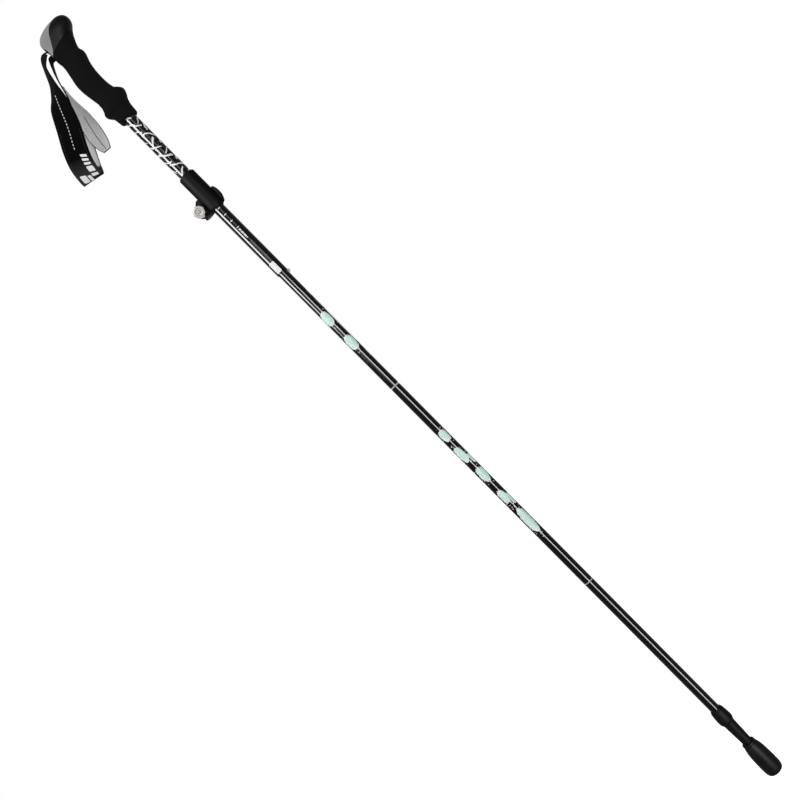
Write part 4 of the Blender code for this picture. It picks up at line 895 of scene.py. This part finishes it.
class POLE_OT_head(bpy.types.Operator):
    """Head of the grip: a smooth black core and a soft grey cap with the strap's slot"""
    bl_idname = "pole.head"
    bl_label = "Grip head"

    def execute(self, context):
        core, cap = chosen("pole_grip", "core"), chosen("pole_grip", "cap")
        black = moulded_plastic("nylon_head_core_satin", core, roughness=0.42, specular=0.03, grain=0.0005,
                                strength=0.02)
        grey = moulded_plastic("elastomer_head_cap_matt", cap, roughness=0.7, specular=0.1, grain=0.0005,
                               strength=0.08)
        for node, slot, look, gap, how in (("head_core", "head_plastic", black, 0.0, "DIFFERENCE"),
                                           ("head_cap", "grey_plastic", grey, 0.0002, "INTERSECT")):
            shell = head_shell(node + "_shell", look)
            carve(shell, cap_block(gap), how)
            carve(shell, under_head())
            carve(shell, strap_slot())
            bm = bmesh.new()
            bm.from_mesh(shell.data)
            bpy.data.objects.remove(shell, do_unlink=True)
            bmesh.ops.dissolve_limit(bm, angle_limit=math.radians(0.2), verts=bm.verts, edges=bm.edges)
            soften_edges(bm, width=0.0004, angle=45, segments=3)
            ride(finished(bm, node + "_moulded", look, 50), "handle", slot, node)
        return {"FINISHED"}


# Strap

def directed(centres, spreads):
    """Rows of a strip: centre, direction across, direction inwards and half width. Each spread is a width and
    then roughly the direction across."""
    result = []
    for i, (width, *across) in enumerate(spreads):
        along = (centres[min(i + 1, len(centres) - 1)] - centres[max(i - 1, 0)]).normalized()
        across = Vector(across)
        across = (across - along * across.dot(along)).normalized()
        result.append((centres[i], across, across.cross(along), width / 2))
    return result


def strip_rows(route):
    """The rows of a strip along a route from the slot's mouth."""
    rows, origin = smooth(route, STEPS), Vector((SLOT_MOUTH_X, 0, SLOT_Z))
    return directed([Vector(row[:3]) + origin for row in rows], [row[3:] for row in rows])


def lengths(rows):
    """The distance along the rows at each of them."""
    total, result = 0.0, [0.0]
    for before, after in zip(rows, rows[1:]):
        total += (after[0] - before[0]).length
        result.append(total)
    return result


def strip(name, rows, low, high, look, narrower=0.0, puff=0.0):
    """A flat band with rolled edges along rows, between two depths. Its map holds length and width."""
    columns = 10
    roll = (high - low) / 2
    rings, places = [], []
    for distance, (centre, across, inwards, half) in zip(lengths(rows), rows):
        half = half - narrower
        flat = half - roll
        sides = [-flat + 2 * flat * i / columns for i in range(columns + 1)]
        section = []
        for way, depth, crown in ((1, low, 0.0), (-1, high, puff)):
            section += [(way * side, depth + crown * (1 - (side / half) ** 4)) for side in sides]
            section += arc(way * flat, (low + high) / 2, roll,
                           [math.pi * i / 4 - way * math.pi / 2 for i in range(1, 4)])
        rings.append([centre + across * side + inwards * depth for side, depth in section])
        places.append([(distance, side) for side, depth in section])
    bm = bmesh.new()
    uv = bm.loops.layers.uv.new("length_and_width")
    made = join_rings(bm, rings, capped=True)
    where = {vertex: spot for row, spots in zip(made, places) for vertex, spot in zip(row, spots)}
    for face in bm.faces:
        for loop in face.loops:
            loop[uv].uv = where[loop.vert]
    return finished(bm, name, look, 60)


def pin_turn_rows():
    """The webbing's turn round the pin inside the head, from the upper strand to the lower one."""
    radius = PIN_RADIUS + PIN_GAP + WEBBING / 2
    bend_x, bend_spread = PIN_X - 2 * PIN_RADIUS, radius + PIN_RADIUS / 2
    mouth_x = SLOT_MOUTH_X + WEBBING
    turn = arc(PIN_X, 0, radius, [math.radians(a) for a in range(80, -81, -16)])
    curve = smooth([(mouth_x, STRAND_SPREAD), (bend_x, bend_spread), *turn,
                    (bend_x, -bend_spread), (mouth_x, -STRAND_SPREAD)], 3)
    return directed([Vector((x, 0, SLOT_Z + z)) for x, z in curve], [(ROOT_WIDTH, 0, -1, 0)] * len(curve))


def webbing_rows():
    """The whole webbing: the band from its sewn end up to the head, round the pin and down the tongue."""
    band, tongue = [[(c - n * (WEBBING + 2 * LAYER_GAP) / 2, a, way * n, half)
                     for c, a, n, half in strip_rows(route)]
                    for route, way in ((BAND_ROUTE, -1), (TONGUE_ROUTE, 1))]
    return band[::-1] + pin_turn_rows() + tongue


class POLE_OT_strap(bpy.types.Operator):
    """Wrist strap: one long webbing turned round the pin in the head, and knitted linings inside the loop"""
    bl_idname = "pole.strap"
    bl_label = "Wrist strap"

    def execute(self, context):
        whole, band = webbing_rows(), strip_rows(BAND_ROUTE)
        fold = lengths(whole)[len(band) - 1 - FOLD_ROW * STEPS]
        webbing = strip("strap_webbing", whole, -WEBBING / 2, WEBBING / 2, woven_webbing(fold))
        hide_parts("strap_band", "strap_tongue", "strap_turn")
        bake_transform(webbing)
        lined = band[BAND_LINED_FROM * STEPS:]
        fold = lengths(lined)[(FOLD_ROW - BAND_LINED_FROM) * STEPS]
        patched = knitted_lining("polyester_knit_with_patch", *[fold + reach for reach in PATCH_OVER_FOLD])
        plain = knitted_lining("polyester_knit_brushed")
        tongue = strip_rows(TONGUE_ROUTE)[TONGUE_LINED_FROM * STEPS:-1]
        for name, rows, look in (("strap_band_lining", lined, patched),
                                 ("strap_tongue_lining", tongue, plain)):
            piece = strip(name + "_knitted", rows, LAYER_GAP, LAYER_GAP + LINING, look, LINING_INSET,
                          LINING_PUFF)
            ride(piece, "strap", "lining", name)
        return {"FINISHED"}


STITCH_SIZES = ("Spacing", "Stitch length", "Thread thickness")


def stitch_tree():
    """Geometry nodes that lay stitches along lines whose points carry the cloth's normal."""
    tree = bpy.data.node_groups.new("row_of_stitches", "GeometryNodeTree")
    sockets = tree.interface
    sockets.new_socket("Lines", in_out="INPUT", socket_type="NodeSocketGeometry")
    for name, value in zip(STITCH_SIZES, (0.004, 0.0025, 0.0006)):
        sockets.new_socket(name, in_out="INPUT", socket_type="NodeSocketFloat").default_value = value
    sockets.new_socket("Thread", in_out="INPUT", socket_type="NodeSocketMaterial")
    sockets.new_socket("Stitches", in_out="OUTPUT", socket_type="NodeSocketGeometry")
    given = tree.nodes.new("NodeGroupInput").outputs
    curve = add(tree, "GeometryNodeMeshToCurve", {"Mesh": given["Lines"]})
    points = add(tree, "GeometryNodeResampleCurve", {"Curve": curve, "Length": given["Spacing"]},
                 mode="LENGTH")
    stitch = add(tree, "GeometryNodeMeshUVSphere", {"Segments": 8, "Rings": 5, "Radius": 0.5})
    flatter = worked(tree, given["Thread thickness"], ("MULTIPLY", 0.7))
    size = add(tree, "ShaderNodeCombineXYZ", (given["Stitch length"], given["Thread thickness"], flatter))
    way = add(tree, "GeometryNodeInputTangent")
    normal = add(tree, "GeometryNodeInputNamedAttribute", {"Name": "cloth_normal"}, data_type="FLOAT_VECTOR")
    turn = add(tree, "FunctionNodeAlignRotationToVector", {"Vector": way}, axis="X")
    turn = add(tree, "FunctionNodeAlignRotationToVector", {"Rotation": turn, "Vector": normal}, axis="Z",
               pivot_axis="X")
    laid = add(tree, "GeometryNodeInstanceOnPoints", {"Points": points, "Instance": stitch, "Rotation": turn,
                                                      "Scale": size})
    real = add(tree, "GeometryNodeRealizeInstances", {"Geometry": laid})
    even = add(tree, "GeometryNodeSetShadeSmooth", {"Geometry": real})
    sewn = add(tree, "GeometryNodeSetMaterial", {"Geometry": even, "Material": given["Thread"]})
    feed(tree, tree.nodes.new("NodeGroupOutput"), (sewn,))
    return tree


def sew(name, lines, thread, sizes):
    """One piece on the strap with stitches along several lines of (point, normal)."""
    bm = bmesh.new()
    layer = bm.verts.layers.float_vector.new("cloth_normal")
    for line in lines:
        before = None
        for point, normal in line:
            vertex = bm.verts.new(point)
            vertex[layer] = normal
            if before:
                bm.edges.new((before, vertex))
            before = vertex
    mesh = bpy.data.meshes.new(name)
    bm.to_mesh(mesh)
    bm.free()
    piece = placed(name, mesh)
    step = piece.modifiers.new("stitches", "NODES")
    step.node_group = bpy.data.node_groups.get("row_of_stitches") or stitch_tree()
    values = {"Thread": thread, **dict(zip(STITCH_SIZES, sizes))}
    for socket in step.node_group.interface.items_tree:
        if socket.in_out == "INPUT" and socket.name in values:
            step[socket.identifier] = values[socket.name]
    ride(evaluated(piece), "strap", "webbing")


def line_on(rows, depth, side, low, high):
    """Points and normals along rows, at a depth and a distance to one side, between two heights."""
    return [(c + a * side + n * depth, n if depth > 0 else -n) for c, a, n, half in rows if low < c.z < high]


class POLE_OT_stitching(bpy.types.Operator):
    """Stitches of the wrist strap: a light row on the band and dark seams on the band and the tongue"""
    bl_idname = "pole.stitching"
    bl_label = "Strap stitching"

    def execute(self, context):
        sizes = context.scene.pole_strap
        light = sewing_thread("polyester_thread_light", chosen("pole_strap", "thread"))
        dark = sewing_thread("polyester_thread_dark", linear("1E1E1E"))
        band, tongue = strip_rows(BAND_ROUTE), strip_rows(TONGUE_ROUTE)
        outside = -(WEBBING + LAYER_GAP + STITCH_RISE)
        inside = LAYER_GAP + LINING + LINING_PUFF
        falling, rising = band[:FOLD_ROW * STEPS], band[FOLD_ROW * STEPS:]
        sew("strap_stitch_row", [line_on(falling, outside, *LIGHT_ROW)], light,
            (sizes.stitch_spacing, sizes.stitch_length, sizes.thread_thickness))
        sew("strap_tongue_seam", [line_on(tongue, inside, *TONGUE_ROW)], dark, TONGUE_STITCH)
        seams = [line_on(rows, outside, side, *heights) for side in (-EDGE_ROWS, EDGE_ROWS)
                 for rows, heights in ((falling, FALLING_SEAM), (rising, RISING_SEAM))]
        sew("strap_seams", seams, dark, EDGE_STITCH)
        return {"FINISHED"}


# Tubes

def bare_tube(node, look, wall, near=()):
    """A tube over a frame node, with its rims eased and more rings at the given heights."""
    low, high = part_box(node)
    outer, inner = high.x, high.x - wall
    steps = [low.z, *near, high.z]
    profile = [(outer, z) for z in steps] + [(inner, z) for z in reversed(steps)]
    return turned(node + "_lacquered", profile, look, ring=True, ease=0.00025)


def button_hole(tube, look):
    """Drill the tube's +X side for the snap button."""
    low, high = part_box("snap_button")
    reach = 0.012
    drill = [(0, 0), (BUTTON_HOLE, 0), (BUTTON_HOLE, reach), (0, reach)]
    tool = turned("button_hole", drill, look, ease=0)
    level = Matrix.Translation((0, 0, (low.z + high.z) / 2))
    tool.matrix_world = level @ Matrix.Rotation(math.pi / 2, 4, "Y")
    bpy.context.view_layer.update()
    carve(tube, tool)


class POLE_OT_tubes(bpy.types.Operator):
    """Upper, adjusting and folding tubes in gloss lacquer with their prints"""
    bl_idname = "pole.tubes"
    bl_label = "Tubes"

    def execute(self, context):
        low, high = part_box("snap_button")
        beside_hole = (low.z - 0.003, high.z + 0.003)
        for node, body, wall, paint in (
                ("upper_tube", "handle", 0.0005, upper_tube_print),
                ("adjusting_tube", "adjuster", 0.0006, adjusting_tube_print),
                ("folding_tube_1", "adjuster", 0.0007, top_folding_print),
                ("folding_tube_2", "middle", 0.0007, middle_folding_print),
                ("folding_tube_3", "lower", 0.0007, None)):
            look = lacquered_tube(node, paint)
            drilled = node == "folding_tube_1"
            piece = bare_tube(node, look, wall, beside_hole if drilled else ())
            if drilled:
                button_hole(piece, look)
            ride(piece, body, "gloss_black", node)
        return {"FINISHED"}


class POLE_OT_scale_numbers(bpy.types.Operator):
    """Small numbers of the length scale, printed between the marks on the adjusting tube"""
    bl_idname = "pole.scale_numbers"
    bl_label = "Scale numbers"

    def execute(self, context):
        spacing = context.scene.pole_tubes.mark_spacing
        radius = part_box("adjusting_tube")[1].x + INK_THICKNESS
        bm = bmesh.new()
        for step in READINGS:
            text = bpy.data.curves.new("number", "FONT")
            text.body = str(FIRST_READING + step)
            text.size = NUMBER_SIZE
            text.align_x = "CENTER"
            text.align_y = "CENTER"
            holder = placed("number", text)
            context.view_layer.update()
            flat = bpy.data.meshes.new_from_object(holder.evaluated_get(context.evaluated_depsgraph_get()))
            centre = MARK_HEIGHT - (step + 0.5) * spacing
            for vertex in flat.vertices:
                turn = (vertex.co.y + NUMBER_SHIFT) / radius
                vertex.co = (radius * math.sin(turn), -radius * math.cos(turn), centre - vertex.co.x)
            bm.from_mesh(flat)
            bpy.data.objects.remove(holder, do_unlink=True)
            bpy.data.meshes.remove(flat)
        ride(finished(bm, "scale_numbers", printed_ink()), "adjuster", "gloss_black")
        return {"FINISHED"}


# Fittings, lock and tip

def leaf_spring(steel):
    """The bent leaf behind the snap button: a bow that stays in the tube, and two prongs that leave room for
    the cord between them."""
    low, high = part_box("button_spring")
    button_low, button_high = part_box("snap_button")
    thick, cord_room, edge, rows = 0.0004, 0.00135, 0.001, 14
    bend = low.z + (high.x - low.x) / 2
    bow = softened_copy("button_spring", "button_spring_bow", steel, 0.00004)
    room = [(edge, bend), (2 * high.x, bend), (2 * high.x, high.z), (edge, high.z)]
    carve(bow, prism("prong_room", room, 2 * low.y, 2 * high.y))
    ride(bow, "adjuster", "steel", "button_spring")

    bm = bmesh.new()
    for near, far in ((cord_room, high.y), (low.y, -cord_room)):
        corners = ((high.x - thick, near), (high.x, near), (high.x, far), (high.x - thick, far))
        levels = [bend + (button_high.z - thick - bend) * i / rows for i in range(rows + 1)]
        join_rings(bm, [[(x, y, z) for x, y in corners] for z in levels], capped=True)
    prongs = finished(bm, "button_spring_prongs", steel)
    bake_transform(prongs)


class POLE_OT_joint_fittings(bpy.types.Operator):
    """Silver ferrules at the folding joints, the adjusting tube's end ring and the snap button"""
    bl_idname = "pole.joint_fittings"
    bl_label = "Joint fittings"

    def execute(self, context):
        bright = machined_metal("aluminium_turned_bright", chosen("pole_fittings", "aluminium"), 0.26)
        # Radii of the spigot, its glued end and its bore, the glued end's length, the flange's thickness
        # and the free end's chamfer
        spigot, glued, bore, sunk, flange, chamfer = 0.00515, 0.0050, 0.0037, 0.025, 0.001, 0.0006
        for node, body in (("lower_ferrule", "lower"), ("upper_ferrule", "middle")):
            low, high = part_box(node)
            joint, wide = low.z + sunk, high.x
            profile = [(bore, low.z), (glued, low.z), (glued, joint), (wide, joint), (wide, joint + flange),
                       (spigot, joint + flange), (spigot, high.z - chamfer), (spigot - chamfer, high.z),
                       (bore, high.z)]
            ride(turned(node + "_turned", profile, bright, ring=True, ease=0.0001), body, "silver", node)
        low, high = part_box("adjusting_tube_ring")
        inner = 0.00615
        profile = [(high.x, low.z), (high.x, high.z), (inner, high.z), (inner, low.z)]
        ring = turned("adjusting_tube_ring_lacquered", profile, lacquered_tube("adjusting_tube_ring"),
                      ring=True, ease=0.0003)
        ride(ring, "adjuster", "gloss_black", "adjusting_tube_ring")
        steel = chosen("pole_fittings", "steel")
        polished = machined_metal("steel_button_polished", steel, 0.22)
        button = softened_copy("snap_button", "snap_button_polished", polished, 0.0002, 25)
        ride(button, "button", "steel", "snap_button")
        leaf_spring(machined_metal("spring_steel_rolled", steel, 0.35))
        return {"FINISHED"}


def screw_way(lever):
    """Clear both ends of the lever's slot, so that the clamp screw is free when the lever is shut or open."""
    pivot, screw = [(low + high) / 2 for low, high in (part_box("barrel_nut"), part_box("clamp_screw"))]
    along = math.atan2(screw.y - pivot.y, screw.x - pivot.x)
    reach, half = 0.008, 0.0022
    for opened in (0, LEVER_OPENS):
        bottom, top = screw.z - half, screw.z + half
        tool = prism("way", [(-half, bottom), (half, bottom), (half, top), (-half, top)], 0, reach)
        turn = Matrix.Rotation(along - opened - math.pi / 2, 4, "Z")
        tool.data.transform(Matrix.Translation((pivot.x, pivot.y, 0)) @ turn)
        carve(lever, tool)


class POLE_OT_lock(bpy.types.Operator):
    """Flip-lever lock: split collar, lever, washers and the silver tension nut"""
    bl_idname = "pole.lock"
    bl_label = "Lever lock"

    def execute(self, context):
        nylon = moulded_plastic("glass_filled_nylon_matt", chosen("pole_fittings", "nylon"), 0.52, 0.011)
        anodised = machined_metal("aluminium_nut_anodised", linear("BDBAB6"), 0.14, 0.0004)
        for node, body, look, slot, width in (
                ("lock_collar", "handle", nylon, "matt_plastic", 0.0004),
                ("lock_lever", "lever", nylon, "matt_plastic", 0.0004),
                ("saddle_washer", "handle", nylon, "matt_plastic", 0.0001),
                ("nut_washer", "handle", nylon, "matt_plastic", 0.0002),
                ("tension_nut", "nut", anodised, "silver", 0.0004)):
            piece = softened_copy(node, node + "_eased", look, width)
            if node == "lock_lever":
                screw_way(piece)
            ride(piece, body, slot, node)
        return {"FINISHED"}


class POLE_OT_tip(bpy.types.Operator):
    """Tip: tapered sleeve, the ring for a basket and the rubber boot"""
    bl_idname = "pole.tip"
    bl_label = "Tip"

    def execute(self, context):
        nylon = moulded_plastic("nylon_tip_sleeve_matt", chosen("pole_fittings", "nylon"), 0.5)
        # Profiles are rows of (radius, height)
        rim, pin, bore = 0.0003, 0.0028, 0.0063
        low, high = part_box("tip_sleeve")
        foot, top = low.z, high.z
        sleeve = [(pin, foot + 0.010), (pin, foot), (0.0040, foot), (0.00466, foot + 0.0006),
                  (0.0071, foot + 0.064), (0.0071, top - rim), (0.0068, top), (bore, top),
                  (bore, top - 0.0235), (pin, top - 0.0235)]

        low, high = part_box("basket_collar")
        long, wide = high.z - low.z, high.x
        bulge = smooth([(0.0079, low.z), (0.975 * wide, low.z + 0.13 * long), (wide, low.z + 0.38 * long),
                        (0.945 * wide, low.z + 0.75 * long), (0.0079, high.z)], 8)
        collar = [(0.0074, high.z), (0.0074, low.z), *bulge]

        low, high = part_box("rubber_boot")
        h, wide, neck = high.z, high.x, 0.0082
        sides = smooth([(0.94 * wide, 0.09 * h), (0.985 * wide, 0.17 * h), (wide, 0.33 * h),
                        (0.965 * wide, 0.60 * h), (0.905 * wide, 0.76 * h), (neck * 1.10, 0.87 * h),
                        (neck, 0.93 * h)], 8)
        sole = smooth([(0.0062, 0.0), (wide * 0.75, 0.018 * h), (wide * 0.87, 0.045 * h), sides[0]], 4)
        mouth = [(neck, h - rim), (neck - rim, h), (0.00615, h), (0.00489, 0.0137), (pin, 0.0137),
                 (pin, 0.008), (0, 0.008)]
        boot = [(0, 0), *sole[:-1], *sides, *mouth]
        for node, body, slot, profile, look, ring, ease, sharp in (
                ("tip_sleeve", "lower", "matt_plastic", sleeve, nylon, True, 0.0003, 35),
                ("basket_collar", "lower", "matt_plastic", collar, nylon, True, 0.0004, 50),
                ("rubber_boot", "boot", "rubber", boot, vulcanised_rubber(), False, 0.0003, 50)):
            ride(turned(node + "_moulded", profile, look, ring, ease, sharp), body, slot, node)
        return {"FINISHED"}


class POLE_OT_inner_parts(bpy.types.Operator):
    """Finishes for the frame's own inner parts, which show when a joint is open"""
    bl_idname = "pole.inner_parts"
    bl_label = "Inner parts"

    def execute(self, context):
        steel = machined_metal("steel_drawn_satin", chosen("pole_fittings", "steel"), 0.35)
        nylon = moulded_plastic("nylon_inner_parts", chosen("pole_fittings", "nylon"), 0.5)
        blacked = machined_metal("steel_blacked_in_oxide", linear("2A2628"), 0.45)
        for look, nodes in ((steel, ("strap_pin", "clamp_screw", "metal_tip")), (blacked, ("barrel_nut",)),
                            (nylon, ("strap_wedge", "adjusting_tube_plug", "guide_bush", "cord_block",
                                     "cord_anchor")), (braided_cord(), ("tension_cord",))):
            for node in nodes:
                for place in frame["nodes"][node].material_slots:
                    place.material = look
        return {"FINISHED"}


# Stage. The strips light the lacquer and the moulded plastic; bare metal would be too bright under them

LIT_BY_STRIPS = ("upper_tube", "adjusting_tube", "folding_tube", "lock_collar", "lock_lever", "head_core",
                 "tip_sleeve", "basket_collar", "rubber_boot")
STRIPS = (
    # name, top, bottom, width, share of the strips' power
    ("strip_lamp_front_high", (0.20, -1.5, 1.90), (0.24, -1.5, 1.08), 0.55, 0.10),
    ("strip_lamp_front_low", (0.28, -1.5, 1.04), (0.47, -1.5, -0.62), 0.45, 0.8),
    ("strip_lamp_front_dim", (-0.30, -1.5, 0.92), (-0.36, -1.5, 0.60), 0.9, 0.07),
    ("strip_lamp_left", (-1.1, -1.02, 1.95), (-1.34, -0.70, 0.88), 0.70, 1.0))


def strip_lamp(name, top, bottom, width, power, lit):
    """A tall strip lamp between two points that faces the pole and shows only in gloss. Its power is for
    each square metre."""
    top, bottom = Vector(top), Vector(bottom)
    middle = (top + bottom) / 2
    up = (top - bottom).normalized()
    towards = Vector((-middle.x, -middle.y, 0))
    towards = (towards - up * towards.dot(up)).normalized()
    lamp = bpy.data.lights.new(name, "AREA")
    lamp.shape = "RECTANGLE"
    lamp.size, lamp.size_y = width, (top - bottom).length
    lamp.energy = power * width * (top - bottom).length
    holder = placed(name, lamp)
    turn = Matrix((up.cross(-towards), up, -towards)).transposed().to_4x4()
    holder.matrix_world = Matrix.Translation(middle) @ turn
    holder.visible_camera = False
    holder.visible_diffuse = False
    holder.light_linking.receiver_collection = lit


def soft_lamp(power):
    """A large round lamp above the camera's side."""
    light = bpy.data.lights.new("soft_lamp", "AREA")
    light.shape = "DISK"
    light.size = 1.6
    light.energy = power
    lamp = placed("soft_lamp", light)
    lamp.location = (-1.3, -1.5, 2.4)
    lamp.rotation_euler = (Vector((0, 0, 0.7)) - lamp.location).to_track_quat("-Z", "Y").to_euler()


def photograph_camera():
    """The camera, rolled so that the pole crosses the picture at nearly 45 degrees."""
    camera = bpy.data.cameras.new("camera")
    camera.lens = 45.0
    camera.clip_end = 20.0
    holder = placed("camera", camera)
    lean = math.radians(44.76)
    right, up = Vector((math.cos(lean), 0, -math.sin(lean))), Vector((math.sin(lean), 0, math.cos(lean)))
    turn = Matrix((right, up, Vector((0, -1, 0)))).transposed().to_4x4()
    holder.matrix_world = Matrix.Translation((-0.0071, -1.130, 0.597)) @ turn
    return holder


class POLE_OT_stage(bpy.types.Operator):
    """Camera, plain floor, world and lamps"""
    bl_idname = "pole.stage"
    bl_label = "Stage"

    def execute(self, context):
        scene = context.scene
        scene.view_settings.view_transform = "Standard"
        scene.camera = photograph_camera()

        # Below the tip, so that the pole can be drawn out to its full length above it
        bm = bmesh.new()
        bmesh.ops.create_grid(bm, x_segments=2, y_segments=2, size=8.0,
                              matrix=Matrix.Translation((0, 0, FLOOR_HEIGHT)))
        floor = finished(bm, "studio_floor", painted_floor())
        floor.visible_shadow = False
        floor.visible_glossy = False

        scene.world = bpy.data.worlds.new("studio_world")
        scene.world.use_nodes = True
        tree = scene.world.node_tree
        level = add(tree, RANGE, {"Value": looked_at(tree), "To Min": 0.55, "To Max": 1.0})
        feed(tree, tree.nodes["Background"], {"Color": WHITE, "Strength": level})

        soft_lamp(scene.pole_stage.soft_light)
        lit = bpy.data.collections.new("lit_by_strips")
        for piece in bpy.data.objects:
            if piece.type == "MESH" and piece.name.startswith(LIT_BY_STRIPS):
                lit.objects.link(piece)
        for name, top, bottom, width, share in STRIPS:
            strip_lamp(name, top, bottom, width, share * scene.pole_stage.strip_light, lit)
        return {"FINISHED"}


STEPS_IN_ORDER = (POLE_OT_grip_foam, POLE_OT_head, POLE_OT_strap, POLE_OT_stitching, POLE_OT_tubes,
                  POLE_OT_scale_numbers, POLE_OT_joint_fittings, POLE_OT_lock, POLE_OT_tip,
                  POLE_OT_inner_parts, POLE_OT_stage)


class POLE_PT_panel(bpy.types.Panel):
    """Lists the pole's pieces and their settings"""
    bl_idname = "POLE_PT_panel"
    bl_label = "Trail running pole"
    bl_space_type = "VIEW_3D"
    bl_region_type = "UI"
    bl_category = "Pole"

    def draw(self, context):
        for group, kind in SETTINGS:
            box = self.layout.box()
            for name in kind.__annotations__:
                box.prop(getattr(context.scene, group), name)
        for step in STEPS_IN_ORDER:
            self.layout.operator(step.bl_idname)


def register():
    for group, kind in SETTINGS:
        bpy.utils.register_class(kind)
        setattr(bpy.types.Scene, group, bpy.props.PointerProperty(type=kind))
    for kind in (*STEPS_IN_ORDER, POLE_PT_panel):
        bpy.utils.register_class(kind)


def unregister():
    for kind in (POLE_PT_panel, *reversed(STEPS_IN_ORDER)):
        bpy.utils.unregister_class(kind)
    for group, kind in reversed(SETTINGS):
        delattr(bpy.types.Scene, group)
        bpy.utils.unregister_class(kind)


def main():
    register()
    for step in STEPS_IN_ORDER:
        group, name = step.bl_idname.split(".")
        getattr(getattr(bpy.ops, group), name)()


if __name__ == "__main__":
    main()
